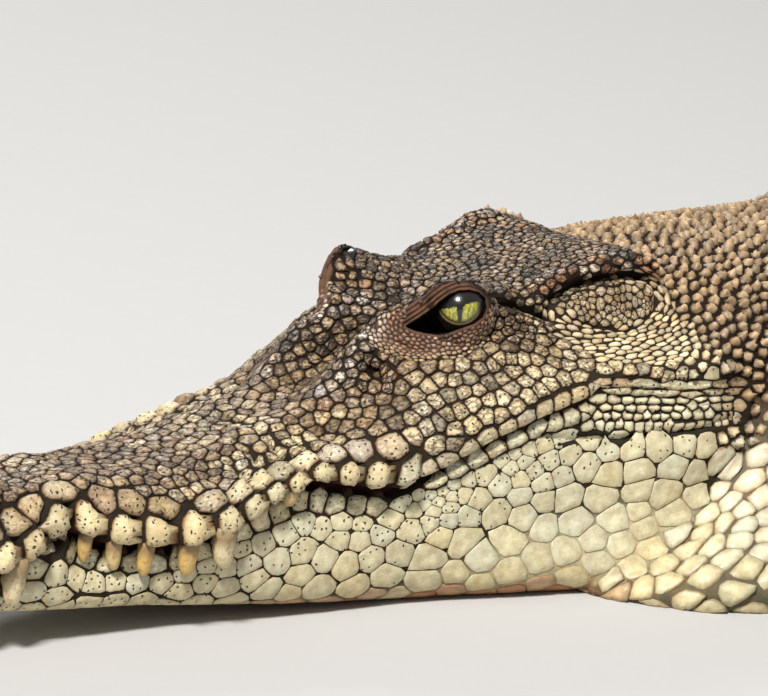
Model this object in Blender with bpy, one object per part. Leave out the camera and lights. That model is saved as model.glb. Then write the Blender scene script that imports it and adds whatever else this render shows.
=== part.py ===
"""Saltwater crocodile, adult, lying on its belly with its mouth closed, at life size.

The body faces -X, its right side is +Y and the floor is z = 0. Lengths named in HEAD units
are multiples of the head length, measured from the snout tip to the back of the skull table.
"""

import math

import bpy
import numpy as np
from mathutils import Vector

# ---------------------------------------------------------------- driving dimensions (metres)
TOTAL_LENGTH = 4.0
HEAD = 0.55
GAP = 0.0004
SOCKET_GAP = 1.5 * GAP
LIMB_GAP = 0.0010
NECK_START = 1.06 * HEAD
NECK_STATIONS = (0.632, 0.66, 0.72, 0.78, 0.84)
TRUNK_END = 1.96
# Lengths of the trunk and tail: name, end behind the snout tip, number of stations.
LENGTHS = (("trunk_front", 1.20, 5), ("trunk_middle", 1.58, 4), ("trunk_rear", TRUNK_END, 5),
           ("tail_1", 2.40, 6), ("tail_2", 2.88, 6), ("tail_3", 3.40, 6),
           ("tail_4", TOTAL_LENGTH, 6))
TAIL_SWEEP = math.radians(44)
# Share of the sweep that the tail has turned, against the share of its length: a*t - b*t*t.
SWEEP_EASE = (1.6, 0.6)
SPINE_STEPS = 40
BODY_SIDES = 22
LIMB_SIDES = 10
TOE_SIDES = 6
PALM_SIDES = 8
FLOOR_FLAT = 0.006

EYE_RADIUS = 0.0176
EYE_PLACE = (0.727 * HEAD, 0.086 * HEAD, 0.327 * HEAD)
EAR_PLACE = (0.946 * HEAD, 0.131 * HEAD, 0.320 * HEAD)
EAR_HALF_SIZE = (0.102 * HEAD, 0.011 * HEAD, 0.026 * HEAD)
EAR_TILT = math.radians(-7)

DOUBLE_CREST = (1.98, 2.98, 16)
SINGLE_CREST = (2.98, 3.93, 17)
CREST_THICKNESS = 0.0055
CREST_ROOT = 0.018
CREST_TIP_SHARE = 0.80
CREST_LEAN = 0.18
CREST_GAP = 0.0005
CREST_END_GAPS = (0.001, 0.0015)
CREST_LEAST_SHARE = 0.3

# ---------------------------------------------------------------- head curves, in HEAD units
# Each curve gives one measure of the head against the distance behind the snout tip.
HALF_WIDTH = ((0, .022), (.015, .050), (.045, .078), (.09, .090), (.13, .086), (.165, .074),
              (.21, .090), (.28, .114), (.355, .139), (.47, .139), (.54, .152), (.62, .170),
              (.70, .190), (.79, .205), (.88, .215), (.97, .228), (1.03, .246), (1.06, .247))
LIP_HEIGHT = ((0, .088), (.06, .094), (.11, .108), (.165, .135), (.22, .112), (.30, .106),
              (.36, .120), (.42, .148), (.48, .165), (.54, .154), (.60, .147), (.66, .170),
              (.72, .199), (.79, .223), (.862, .244), (.95, .258), (1.06, .266))
CROWN_HEIGHT = ((0, .118), (.015, .152), (.04, .176), (.07, .188), (.135, .178), (.2, .181),
                (.3, .180), (.37, .186), (.43, .195), (.5, .208), (.57, .229), (.64, .264),
                (.70, .298), (.76, .326), (.83, .350), (.9, .369), (.99, .385), (1.06, .374))
RIDGE_OFFSET = ((0, .012), (.04, .030), (.1, .040), (.35, .048), (.56, .048), (.64, .058),
                (.72, .072), (.80, .092), (.90, .110), (1.0, .124), (1.06, .126))
RIDGE_RISE = ((0, -.004), (.2, .003), (.35, .003), (.5, .010), (.6, .020), (.64, .028),
              (.685, .044), (.73, .056), (.765, .036), (.81, .006), (.88, 0), (.96, .002),
              (1.015, .008), (1.04, -.008), (1.06, -.024))
BROW_STEP = ((0, .008), (.1, .030), (.5, .037), (.62, .036), (.72, .034), (.8, .020), (.9, .008),
             (1.06, .012))
BROW_DROP = ((0, .010), (.3, .016), (.5, .026), (.62, .028), (.68, .017), (.715, .004),
             (.8, .010), (1.06, .014))
TEMPLE_OFFSET = ((0, .016), (.05, .050), (.1, .072), (.165, .064), (.22, .078), (.3, .100),
                 (.4, .124), (.5, .128), (.62, .116), (.72, .112), (.8, .118), (.92, .126),
                 (1.0, .140), (1.06, .160))
TEMPLE_HEIGHT = ((0, .112), (.05, .152), (.1, .162), (.2, .160), (.3, .156), (.4, .163),
                 (.5, .186), (.56, .207), (.62, .242), (.68, .284), (.72, .311), (.8, .316),
                 (1.06, .326))
CHEEK_OFFSET = ((0, .020), (.1, .087), (.165, .073), (.3, .117), (.42, .138), (.54, .150),
                (.62, .156), (.72, .163), (.82, .173), (.92, .189), (1.0, .216), (1.04, .236),
                (1.06, .238))
CHEEK_HEIGHT = ((0, .105), (.1, .138), (.165, .150), (.3, .134), (.42, .156), (.54, .180),
                (.62, .212), (.7, .254), (.8, .280), (.92, .284), (1.06, .280))
JAW_INSET = ((0, .008), (.1, .018), (.5, .018), (.75, .012), (.862, .002), (1.06, 0))
JAW_HALF_WIDTH = ((0, .016), (.05, .060), (.1, .072), (.16, .083), (.2, .070), (.3, .102),
                  (.42, .127), (.54, .146), (.66, .172), (.78, .198), (.88, .222), (.97, .245),
                  (1.03, .256), (1.06, .256))
FOLD_OFFSET = ((0, .014), (.05, .056), (.12, .075), (.3, .102), (.42, .128), (.6, .158),
               (.75, .184), (.86, .208), (.93, .236), (1.0, .250), (1.06, .254))
FOLD_HEIGHT = ((0, .068), (.3, .058), (.8, .050), (.9, .045), (1.0, .080), (1.06, .125))
THROAT_OFFSET = ((0, .012), (.05, .048), (.12, .068), (.3, .094), (.42, .120), (.6, .150),
                 (.75, .176), (.86, .200), (.93, .262), (.98, .318), (1.06, .352))
THROAT_HEIGHT = ((0, .062), (.1, .050), (.3, .038), (.6, .018), (.86, .020), (.95, .030),
                 (1.06, .050))
SOLE_OFFSET = ((0, .008), (.05, .036), (.12, .054), (.25, .072), (.42, .100), (.6, .128),
               (.75, .155), (.86, .182), (.93, .248), (.98, .306), (1.06, .340))
SOLE_HEIGHT = ((0, .058), (.03, .047), (.1, .040), (.25, .030), (.45, .013), (.6, .002), (.66, 0),
               (1.06, 0))
HEAD_STATIONS = (0, .010, .035, .07, .105, .14, .165, .195, .25, .31, .36, .41, .455, .50, .55,
                 .60, .64, .675, .71, .745, .785, .83, .88, .93, .975, 1.01, 1.035, 1.06)

# Teeth that a closed mouth shows: place behind the snout tip, length, base radius (HEAD units).
UPPER_TEETH = ((.020, .026, .0065), (.060, .040, .0085), (.098, .050, .0100), (.196, .030, .0065),
               (.228, .034, .0072), (.268, .036, .0075), (.314, .042, .0090), (.358, .046, .0105),
               (.408, .026, .0080))
LOWER_TEETH = ((.164, .034, .0070),)
TOOTH_ROOT = .009
TOOTH_SIDES = 4
TOOTH_TIP_SIZE = .30
UPPER_TOOTH_INSET = .75
LOWER_TOOTH_INSET = -.25
LOWER_TOOTH_RISE = .004
LIP_ROUNDING = .004
FLANK_SHARE = .45
JAW_SIDE_SHARE = .62

# ---------------------------------------------------------------- body curves (metres)
# Half width, height and height of the widest place against the distance behind the snout tip.
BODY_HALF_WIDTH = ((.583, .176), (.62, .172), (.72, .178), (.88, .192), (1.04, .234), (1.2, .280),
                   (1.38, .294), (1.58, .276), (1.75, .240), (1.96, .180), (2.15, .152),
                   (2.4, .122), (2.88, .080), (3.4, .043), (3.8, .018), (4.0, .006))
BODY_HEIGHT = ((.583, .210), (.72, .209), (.88, .207), (1.04, .230), (1.2, .276), (1.38, .305),
               (1.58, .297), (1.75, .266), (1.96, .226), (2.15, .205), (2.4, .180), (2.88, .140),
               (3.4, .098), (3.8, .056), (4.0, .020))
WIDEST_SHARE = ((.583, .26), (.84, .34), (1.38, .38), (1.96, .42), (4.0, .45))
UPPER_SQUARENESS = ((.583, 1.9), (.84, 2.1), (1.38, 2.25), (1.96, 2.1), (2.88, 1.9), (4.0, 1.9))
LOWER_SQUARENESS = 2.7
CREST_HEIGHT = ((1.98, .006), (2.2, .018), (2.98, .042), (3.4, .048), (3.75, .036), (3.93, .018))
CREST_SPREAD = ((1.98, .070), (2.4, .046), (2.98, .008))

# Limb paths: x behind the snout tip, distance from the midline, height, half width, half height.
ARM_PATH = ((.945, .120, .095, .066, .066), (1.000, .215, .092, .058, .056),
            (1.062, .290, .080, .050, .048), (1.100, .332, .066, .046, .044),
            (1.055, .370, .055, .046, .042), (1.000, .392, .045, .038, .034),
            (.948, .402, .034, .034, .026), (.915, .408, .024, .040, .022),
            (.882, .410, .017, .043, .017), (.865, .410, .013, .036, .012))
LEG_PATH = ((1.885, .080, .125, .084, .090), (1.830, .165, .128, .080, .086),
            (1.765, .250, .118, .064, .072), (1.722, .305, .098, .055, .058),
            (1.765, .355, .078, .050, .050), (1.826, .382, .060, .041, .042),
            (1.888, .410, .040, .033, .034), (1.870, .456, .028, .038, .025),
            (1.828, .484, .018, .045, .018), (1.785, .500, .012, .044, .0115))
BENDS = (3, 6)
# Toes: bearing from straight ahead (outward is positive, degrees), length, has a claw.
HAND_TOES = ((-46, .062, True), (-22, .078, True), (2, .084, True), (26, .074, False),
             (50, .058, False))
FOOT_TOES = ((-4, .098, True), (14, .122, True), (32, .124, True), (52, .104, False))
TOE_RADIUS = (.0125, .0105, .0085)
TOE_SHARES = (-.35, .35, 1)
TOE_FLATNESS = .92
TOE_ARCH = .004
TOE_ROOT = .018
HAND_SPREAD = .062
FOOT_SPREAD = .068
WEB_THICKNESS = .005
WEB_LIFT = .0025
WEB_SHARES = (.05, .62)
CLAW_LENGTH = .026
CLAW_SIDES = 5
CLAW_NARROWNESS = .8
# Claw stations: share of the length, size and height against the toe tip's radius.
CLAW_STATIONS = ((0, .82, .98), (.5, .58, .86), (1, .14, .30))
SHARP_ANGLE = math.radians(45)
HIDE_ROUGHNESS = .6
EYE_ROUGHNESS = .2
HORN_ROUGHNESS = .35

# ---------------------------------------------------------------- colours
OLIVE_BROWN = (.30, .22, .12, 1)
PALE_CREAM = (.62, .54, .33, 1)
CREST_BROWN = (.20, .15, .09, 1)
IRIS_GREEN = (.42, .42, .08, 1)
HORN_BROWN = (.10, .07, .05, 1)


def smooth(keys, x):
    """Value at x of the smooth curve through the (place, value) keys, with no overshoot."""
    places = np.array([key[0] for key in keys], float)
    values = np.array([key[1] for key in keys], float)
    steps = np.diff(places)
    slopes = np.diff(values) / steps
    tangents = np.concatenate(([slopes[0]], np.zeros(len(keys) - 2), [slopes[-1]]))
    for i in range(1, len(keys) - 1):
        if slopes[i - 1] * slopes[i] > 0:
            before = 2 * steps[i] + steps[i - 1]
            after = steps[i] + 2 * steps[i - 1]
            tangents[i] = (before + after) / (before / slopes[i - 1] + after / slopes[i])
    i = int(np.clip(np.searchsorted(places, x) - 1, 0, len(steps) - 1))
    t = float(np.clip((x - places[i]) / steps[i], 0, 1))
    start = (1 + 2 * t) * (1 - t) ** 2 * values[i] + t * t * (3 - 2 * t) * values[i + 1]
    return start + steps[i] * (t * (1 - t) ** 2 * tangents[i] - t * t * (1 - t) * tangents[i + 1])


def rounded(points):
    """The chain of points with one more on the smooth curve between each two."""
    chain = [np.array(point, float) for point in points]
    result = [chain[0]]
    for i in range(1, len(chain)):
        before = chain[max(i - 2, 0)]
        after = chain[min(i + 1, len(chain) - 1)]
        if 1 < i < len(chain) - 1:
            middle = (9 * (chain[i - 1] + chain[i]) - before - after) / 16
        else:
            middle = (chain[i - 1] + chain[i]) / 2
        result += [middle, chain[i]]
    return result


def mirrored_ring(half):
    """Closed ring of (y, z) points from a half that starts and ends on the midline."""
    return [tuple(p) for p in half] + [(-p[0], p[1]) for p in reversed(half[1:-1])]


def upper_half(x):
    """Half outline of the head above the mouth, from the crown to the edge of the lip."""
    crown = smooth(CROWN_HEIGHT, x)
    ridge = (smooth(RIDGE_OFFSET, x), crown + smooth(RIDGE_RISE, x))
    brow = (ridge[0] + smooth(BROW_STEP, x), ridge[1] - smooth(BROW_DROP, x))
    temple = (smooth(TEMPLE_OFFSET, x), smooth(TEMPLE_HEIGHT, x))
    cheek = (smooth(CHEEK_OFFSET, x), smooth(CHEEK_HEIGHT, x))
    lip = smooth(LIP_HEIGHT, x)
    flank = (smooth(HALF_WIDTH, x), lip + FLANK_SHARE * (cheek[1] - lip))
    edge = (flank[0] - LIP_ROUNDING, lip)
    return rounded([(0, crown), ridge, brow, temple, cheek, flank, edge])


def lower_half(x):
    """Half outline of the lower jaw and throat, from the edge of the mouth to the midline."""
    lip = smooth(LIP_HEIGHT, x)
    sole = smooth(SOLE_HEIGHT, x)
    edge = (smooth(HALF_WIDTH, x) - LIP_ROUNDING - smooth(JAW_INSET, x), lip)
    side = (smooth(JAW_HALF_WIDTH, x), JAW_SIDE_SHARE * lip + (1 - JAW_SIDE_SHARE) * sole)
    fold = (smooth(FOLD_OFFSET, x), smooth(FOLD_HEIGHT, x))
    throat = (smooth(THROAT_OFFSET, x), smooth(THROAT_HEIGHT, x))
    bottom = (smooth(SOLE_OFFSET, x), sole)
    return rounded([edge, side, fold, throat, bottom]) + [np.array((0, sole))]


def head_rings(upper):
    """Rings of the head or of the lower jaw, in metres, at every station."""
    rings = []
    for x in HEAD_STATIONS:
        mouth = smooth(LIP_HEIGHT, x)
        if upper:
            half = upper_half(x)
            half += [np.array((half[-1][0] / 2, mouth)), np.array((0, mouth))]
            shift = GAP / 2
        else:
            outer = lower_half(x)
            half = [np.array((0, mouth)), np.array((outer[0][0] / 2, mouth))] + outer
            shift = -GAP / 2
        on_mouth = [abs(point[1] - mouth) < 1e-9 for point in half]
        half = [(point[0] * HEAD, point[1] * HEAD + (shift if flat else 0))
                for point, flat in zip(half, on_mouth)]
        rings.append([Vector((x * HEAD, y, z)) for y, z in mirrored_ring(half)])
    return rings


def along_tail(x):
    """Place on the floor and heading of the spine x metres behind the snout tip."""
    straight = min(x, TRUNK_END)
    place = Vector((straight, 0, 0))
    heading = 0.0
    length = (x - straight) / SPINE_STEPS
    for i in range(SPINE_STEPS):
        share = (i + .5) * length / (TOTAL_LENGTH - TRUNK_END)
        heading = TAIL_SWEEP * share * (SWEEP_EASE[0] - SWEEP_EASE[1] * share)
        place += Vector((math.cos(heading), math.sin(heading), 0)) * length
    return place, heading


def body_half_outline(x, grow):
    """Half width and height of the body's section, and the height of its widest place."""
    width = smooth(BODY_HALF_WIDTH, x) + grow
    height = smooth(BODY_HEIGHT, x) + grow
    middle = height * smooth(WIDEST_SHARE, x)
    return width, height, middle


def body_ring(x, grow=0.0):
    """Ring of the body's section at x, flat where it rests on the floor."""
    width, height, middle = body_half_outline(x, grow)
    place, heading = along_tail(x)
    across = Vector((-math.sin(heading), math.cos(heading), 0))
    ring = []
    for i in range(BODY_SIDES):
        angle = math.tau * i / BODY_SIDES
        side, up = math.sin(angle), math.cos(angle)
        power = 2 / (smooth(UPPER_SQUARENESS, x) if up >= 0 else LOWER_SQUARENESS)
        y = math.copysign(abs(side) ** power, side) * width
        reach = height - middle if up >= 0 else middle
        z = middle + math.copysign(abs(up) ** power, up) * reach
        if z < FLOOR_FLAT:
            z = 0.0
        ring.append(place + across * y + Vector((0, 0, z - (grow if z == 0 else 0))))
    return ring


def ring_on_outline(outline, guide, x):
    """Ring at x whose points lie on the closed (y, z) outline, seen from the guide ring's centre."""
    centre = Vector((0, smooth(BODY_HEIGHT, x) * smooth(WIDEST_SHARE, x)))
    ring = []
    for point in guide:
        ray = Vector((point.y, point.z)) - centre
        best = 0.0
        for a, b in zip(outline, outline[1:] + outline[:1]):
            first = Vector(a) - centre
            edge = Vector(b) - Vector(a)
            turn = ray.x * edge.y - ray.y * edge.x
            if abs(turn) < 1e-12:
                continue
            t = (first.x * edge.y - first.y * edge.x) / turn
            s = (first.x * ray.y - first.y * ray.x) / turn
            if t > 0 and -1e-6 <= s <= 1 + 1e-6:
                best = max(best, t)
        hit = centre + ray * best
        ring.append(Vector((x, hit.x, max(hit.y, 0))))
    return ring


def head_outline():
    """Closed outline of the whole head where the neck begins, in metres."""
    x = HEAD_STATIONS[-1]
    half = upper_half(x) + lower_half(x)[1:]
    return [(y * HEAD, z * HEAD) for y, z in mirrored_ring(half)]


def material(name, colour, roughness):
    """Principled material of one colour."""
    made = bpy.data.materials.new(name)
    made.use_nodes = True
    shader = made.node_tree.nodes["Principled BSDF"]
    shader.inputs["Base Color"].default_value = colour
    shader.inputs["Roughness"].default_value = roughness
    made.diffuse_color = colour
    return made


def solid(name, points, faces, colour, roughness=HIDE_ROUGHNESS):
    """Object with the given closed mesh and a material of its own."""
    mesh = bpy.data.meshes.new(name)
    mesh.from_pydata([tuple(p) for p in points], [], faces)
    mesh.update()
    made = bpy.data.objects.new(name, mesh)
    bpy.context.collection.objects.link(made)
    mesh.materials.append(material(name, colour, roughness))
    mesh.shade_smooth()
    mesh.set_sharp_from_angle(angle=SHARP_ANGLE)
    return made


def loft_mesh(rings):
    """Points and faces of a closed loft through rings of equal count."""
    count = len(rings[0])
    points = [p for ring in rings for p in ring]
    faces = [tuple(range(count))]
    for low in range(0, (len(rings) - 1) * count, count):
        for i in range(count):
            j = (i + 1) % count
            faces.append((low + i, low + count + i, low + count + j, low + j))
    faces.append(tuple(reversed(range(len(points) - count, len(points)))))
    return points, faces


def outward(points, faces):
    """The faces, turned over if they enclose a negative volume."""
    volume = 0.0
    for face in faces:
        for i in range(1, len(face) - 1):
            a, b, c = points[face[0]], points[face[i]], points[face[i + 1]]
            volume += a.dot(b.cross(c))
    return faces if volume > 0 else [tuple(reversed(face)) for face in faces]


def loft(name, rings, colour, roughness=HIDE_ROUGHNESS):
    """Closed object through the rings."""
    points, faces = loft_mesh(rings)
    return solid(name, points, outward(points, faces), colour, roughness)


def hidden(made):
    """The object as a helper that only shapes others."""
    made.hide_render = True
    made.display_type = "WIRE"
    return made


def combine(target, helper, operation, overlapping=False):
    """Exact Boolean of the target with the helper, whose own bodies may be overlapping."""
    modifier = target.modifiers.new(operation.title(), "BOOLEAN")
    modifier.operation = operation
    modifier.solver = "EXACT"
    modifier.use_self = overlapping
    modifier.object = helper


def joined(name, parts, colour):
    """One object made of several closed bodies, each given by its points and faces."""
    points, faces = [], []
    for new_points, new_faces in parts:
        faces += [tuple(len(points) + i for i in face)
                  for face in outward(new_points, new_faces)]
        points += new_points
    return solid(name, points, faces, colour)


def ellipsoid_rings(centre, half_size, tilt=0.0, grow=0.0, around=10, along=6):
    """Rings of an ellipsoid along its x axis, tilted in the x-z plane."""
    rings = []
    for k in range(along + 1):
        turn = math.pi * (k + .12) / (along + .24)
        x = -math.cos(turn) * (half_size[0] + grow)
        ring = []
        for i in range(around):
            angle = math.tau * i / around
            y = math.sin(turn) * math.cos(angle) * (half_size[1] + grow)
            z = math.sin(turn) * math.sin(angle) * (half_size[2] + grow)
            ring.append(Vector((centre[0] + x * math.cos(tilt) - z * math.sin(tilt),
                                centre[1] + y,
                                centre[2] - x * math.sin(tilt) + z * math.cos(tilt))))
        rings.append(ring)
    return rings


def mirror_y(rings):
    """The rings on the other side of the midline."""
    return [[Vector((p.x, -p.y, p.z)) for p in ring] for ring in rings]


def tooth_mesh(place, length, radius, side, upper):
    """One blunt cone that hangs from the upper lip or rises from the lower jaw."""
    lip = smooth(LIP_HEIGHT, place)
    if upper:
        y = smooth(HALF_WIDTH, place) - LIP_ROUNDING - radius * UPPER_TOOTH_INSET
        root, tip = lip + TOOTH_ROOT, lip - length
    else:
        y = smooth(JAW_HALF_WIDTH, place) - radius * LOWER_TOOTH_INSET
        root, tip = lip - length - TOOTH_ROOT, lip + LOWER_TOOTH_RISE
    rings = []
    for share, size in ((0, 1), (1, TOOTH_TIP_SIZE)):
        z = root + (tip - root) * share
        rings.append([Vector((HEAD * (place + radius * size * math.cos(math.tau * i / TOOTH_SIDES)),
                              side * HEAD * (y + radius * size * math.sin(math.tau * i / TOOTH_SIDES)),
                              HEAD * z)) for i in range(TOOTH_SIDES)])
    return loft_mesh(rings)


def build_head():
    """Head above the mouth, lower jaw with the throat, eyes and ear flaps."""
    upper = loft("head", head_rings(True), OLIVE_BROWN)
    lower = loft("lower_jaw", head_rings(False), PALE_CREAM)
    sides = (1, -1)
    top_row = [tooth_mesh(*tooth, side, True) for tooth in UPPER_TEETH for side in sides]
    low_row = [tooth_mesh(*tooth, side, False) for tooth in LOWER_TEETH for side in sides]
    combine(upper, hidden(joined("upper_teeth_tool", top_row, PALE_CREAM)), "UNION")
    combine(lower, hidden(joined("lower_teeth_tool", low_row, PALE_CREAM)), "UNION")
    eye_half = (EYE_RADIUS,) * 3
    sockets = []
    for name, side in (("right", 1), ("left", -1)):
        for part, place, size, tilt, colour in (
                ("eye", EYE_PLACE, eye_half, 0.0, IRIS_GREEN),
                ("ear_flap", EAR_PLACE, EAR_HALF_SIZE, EAR_TILT, OLIVE_BROWN)):
            rings = ellipsoid_rings(place, size, tilt)
            cavity = ellipsoid_rings(place, size, tilt, grow=SOCKET_GAP)
            loft(part + "_" + name, rings if side > 0 else mirror_y(rings), colour, EYE_ROUGHNESS)
            sockets.append(loft_mesh(cavity if side > 0 else mirror_y(cavity)))
    combine(upper, hidden(joined("socket_tool", sockets, OLIVE_BROWN)), "DIFFERENCE")


def span(start, end, count):
    """Evenly spaced stations of one length of the body."""
    return [start + (end - start) * i / (count - 1) for i in range(count)]


def body_rings(stations):
    """Rings at the stations, the last one a gap short of the next length."""
    return [body_ring(x) for x in stations[:-1]] + [body_ring(stations[-1] - GAP)]


def build_body():
    """Neck and the lengths of trunk and tail, with the tail's crests."""
    neck_rings = body_rings(NECK_STATIONS)
    first = ring_on_outline(head_outline(), neck_rings[0], NECK_START + GAP)
    loft("neck", [first] + neck_rings, OLIVE_BROWN)
    start = NECK_STATIONS[-1]
    for name, end, count in LENGTHS:
        rings = body_rings(span(start, end, count))
        if name.startswith("trunk"):
            loft(name, rings, OLIVE_BROWN)
        else:
            tail = loft(name, rings, CREST_BROWN)
            crest = joined(name + "_crest_tool", crest_blades(start, end), CREST_BROWN)
            combine(tail, hidden(crest), "UNION")
        start = end


def body_cutter():
    """The neck, trunk and tail root in one, a gap larger all round, to cut the limbs with."""
    stations = list(NECK_STATIONS)
    for _, end, count in LENGTHS[:4]:
        stations += span(stations[-1], end, count)[1:]
    return hidden(loft("body_tool", [body_ring(x, SOCKET_GAP) for x in stations], OLIVE_BROWN))


def surface_height(x, offset):
    """Height of the body's back at a distance from the midline."""
    width, height, middle = body_half_outline(x, 0.0)
    power = smooth(UPPER_SQUARENESS, x)
    share = max(1 - (abs(offset) / width) ** power, 0) ** (1 / power)
    return middle + (height - middle) * share


def crest_point(x, offset, z):
    """Point above the spine at x, moved sideways."""
    place, heading = along_tail(x)
    return place + Vector((-math.sin(heading) * offset, math.cos(heading) * offset, z))


def crest_blades(start, end):
    """Saw-toothed blades of the crest rows that stand on one length of the tail."""
    blades = []
    for first, last, count, rows in ((*DOUBLE_CREST, (1, -1)), (*SINGLE_CREST, (0,))):
        pitch = (last - first) / count
        for i in range(count):
            x0, x1 = first + i * pitch, first + (i + 1) * pitch
            if x0 < start - 1e-6 or x1 > end + 1e-6:
                x0 = max(x0, start + CREST_END_GAPS[0])
                x1 = min(x1, end - CREST_END_GAPS[1])
                if x1 - x0 < CREST_LEAST_SHARE * pitch:
                    continue
            for row in rows:
                blades.append(crest_tooth(x0, x1 - CREST_GAP, row))
    return blades


def crest_tooth(x0, x1, row):
    """One crest scute: a thin fin, rooted in the back, that rises backwards to its tip."""
    points = []
    for x in (x0, x1):
        offset = row * smooth(CREST_SPREAD, x)
        root = surface_height(x, offset) - CREST_ROOT
        points += [crest_point(x, offset - CREST_THICKNESS, root),
                   crest_point(x, offset + CREST_THICKNESS, root)]
    x = x0 + (x1 - x0) * CREST_TIP_SHARE
    offset = row * smooth(CREST_SPREAD, x)
    height = smooth(CREST_HEIGHT, x)
    points.append(crest_point(x, offset + row * CREST_LEAN * height,
                              surface_height(x, offset) + height))
    return points, [(0, 1, 3, 2), (0, 4, 1), (1, 4, 3), (3, 4, 2), (2, 4, 0)]


def limb_rings(path, sides, side):
    """Rings across a limb's path, with their lower points no deeper than the floor."""
    centres = [Vector((p[0], side * p[1], p[2])) for p in path]
    rings = []
    for i, (centre, station) in enumerate(zip(centres, path)):
        ahead = centres[min(i + 1, len(path) - 1)] - centres[max(i - 1, 0)]
        ahead.z *= .5
        across = Vector((0, 0, 1)).cross(ahead).normalized()
        up = ahead.cross(across).normalized()
        ring = []
        for k in range(sides):
            angle = math.tau * k / sides
            point = centre + across * (math.cos(angle) * station[3])
            point += up * (math.sin(angle) * station[4])
            if point.z < FLOOR_FLAT * .5:
                point.z = 0.0
            ring.append(point)
        rings.append(ring)
    return rings


def pull_back(rings):
    """The rings with the last one moved back by the gap, to clear the next length."""
    centre = sum(rings[-1], Vector()) / len(rings[-1])
    before = sum(rings[-2], Vector()) / len(rings[-2])
    shift = (before - centre).normalized() * LIMB_GAP
    return rings[:-1] + [[p + shift for p in rings[-1]]]


def toe_path(start, bearing, length):
    """Stations of one toe that runs forward and outward on the floor."""
    turn = math.radians(bearing)
    ahead = Vector((-math.cos(turn), math.sin(turn), 0))
    path = []
    for share, radius in zip(TOE_SHARES, TOE_RADIUS):
        place = start + ahead * length * share
        lift = TOE_ARCH * math.sin(math.pi * max(share, 0))
        half_height = radius * TOE_FLATNESS
        path.append((place.x, place.y, half_height + lift, radius, half_height))
    return path


def build_extremity(name, path, toes, spread, webbed, side, word):
    """Hand or foot at the end of a limb's path, with its toes, webs and claws."""
    toe_parts = []
    knuckle = Vector((path[-1][0], path[-1][1], 0))
    heel = Vector((path[-2][0], path[-2][1], 0))
    ahead = (knuckle - heel).normalized()
    across = Vector((ahead.y, -ahead.x, 0))
    if across.y < 0:
        across = -across
    tips = []
    for number, (bearing, length, has_claw) in enumerate(toes):
        share = number / (len(toes) - 1) - .5
        start = knuckle + across * spread * share - ahead * TOE_ROOT
        stations = toe_path(start, bearing, length)
        toe_parts.append(loft_mesh(limb_rings(stations, TOE_SIDES, side)))
        tips.append((start, Vector((stations[-1][0], stations[-1][1], 0)), bearing, has_claw))
    palm_rings = limb_rings(path, PALM_SIDES, side)[BENDS[1]:]
    palm = loft("%s_%s" % (name, word), palm_rings, OLIVE_BROWN)
    if webbed:
        toe_parts += web_meshes(tips, side)
    toes_tool = hidden(joined("%s_%s_toes_tool" % (name, word), toe_parts, OLIVE_BROWN))
    combine(palm, toes_tool, "UNION", overlapping=True)
    for number, (_, tip, bearing, has_claw) in enumerate(tips, 1):
        if has_claw:
            build_claw("%s_%s_claw_%d" % (name, word, number), tip, bearing, side)


def web_meshes(tips, side):
    """Thin plates between neighbouring toes."""
    webs = []
    for first, second in zip(tips, tips[1:]):
        rings = []
        for share in WEB_SHARES:
            a = first[0].lerp(first[1], share)
            b = second[0].lerp(second[1], share)
            low, high = WEB_LIFT, WEB_LIFT + WEB_THICKNESS
            rings.append([Vector((a.x, side * a.y, low)), Vector((b.x, side * b.y, low)),
                          Vector((b.x, side * b.y, high)), Vector((a.x, side * a.y, high))])
        webs.append(loft_mesh(rings))
    return webs


def build_claw(name, tip, bearing, side):
    """Claw ahead of a toe tip, curving down to the floor."""
    turn = math.radians(bearing)
    ahead = Vector((-math.cos(turn), math.sin(turn), 0))
    radius = TOE_RADIUS[-1]
    path = []
    for share, size, height in CLAW_STATIONS:
        place = tip + ahead * (GAP + CLAW_LENGTH * share)
        path.append((place.x, place.y, radius * height, radius * size * CLAW_NARROWNESS,
                     radius * size))
    loft(name, limb_rings(path, CLAW_SIDES, side), HORN_BROWN, HORN_ROUGHNESS)


def build_limbs():
    """Upper and lower lengths of each limb, cut clear of the body, with hands and feet."""
    body = body_cutter()
    for word, side in (("left", -1), ("right", 1)):
        for upper, lower, path in (("upper_arm", "forearm", ARM_PATH),
                                   ("thigh", "shank", LEG_PATH)):
            rings = limb_rings(path, LIMB_SIDES, side)
            top = loft("%s_%s" % (upper, word), pull_back(rings[:BENDS[0] + 1]), OLIVE_BROWN)
            combine(top, body, "DIFFERENCE")
            loft("%s_%s" % (lower, word), pull_back(rings[BENDS[0]:BENDS[1] + 1]), OLIVE_BROWN)
        build_extremity("hand", ARM_PATH, HAND_TOES, HAND_SPREAD, False, side, word)
        build_extremity("foot", LEG_PATH, FOOT_TOES, FOOT_SPREAD, True, side, word)


def centre_on_origin():
    """Parent everything to one empty that puts the box's bottom centre on the origin."""
    root = bpy.data.objects.new("crocodile", None)
    bpy.context.collection.objects.link(root)
    low, high = Vector((1e9,) * 3), Vector((-1e9,) * 3)
    for made in bpy.data.objects:
        if made.type != "MESH":
            continue
        made.parent = root
        if made.hide_render:
            continue
        for vertex in made.data.vertices:
            low = Vector(map(min, low, vertex.co))
            high = Vector(map(max, high, vertex.co))
    root.location = (-(low.x + high.x) / 2, -(low.y + high.y) / 2, 0)


def main():
    """Build the whole animal in an empty scene."""
    for made in list(bpy.data.objects):
        bpy.data.objects.remove(made, do_unlink=True)
    build_head()
    build_body()
    build_limbs()
    centre_on_origin()


main()
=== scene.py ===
"""Looks of the saltwater crocodile: one skin, its scales, eyes, teeth, claws and a plain studio."""

import math

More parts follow.
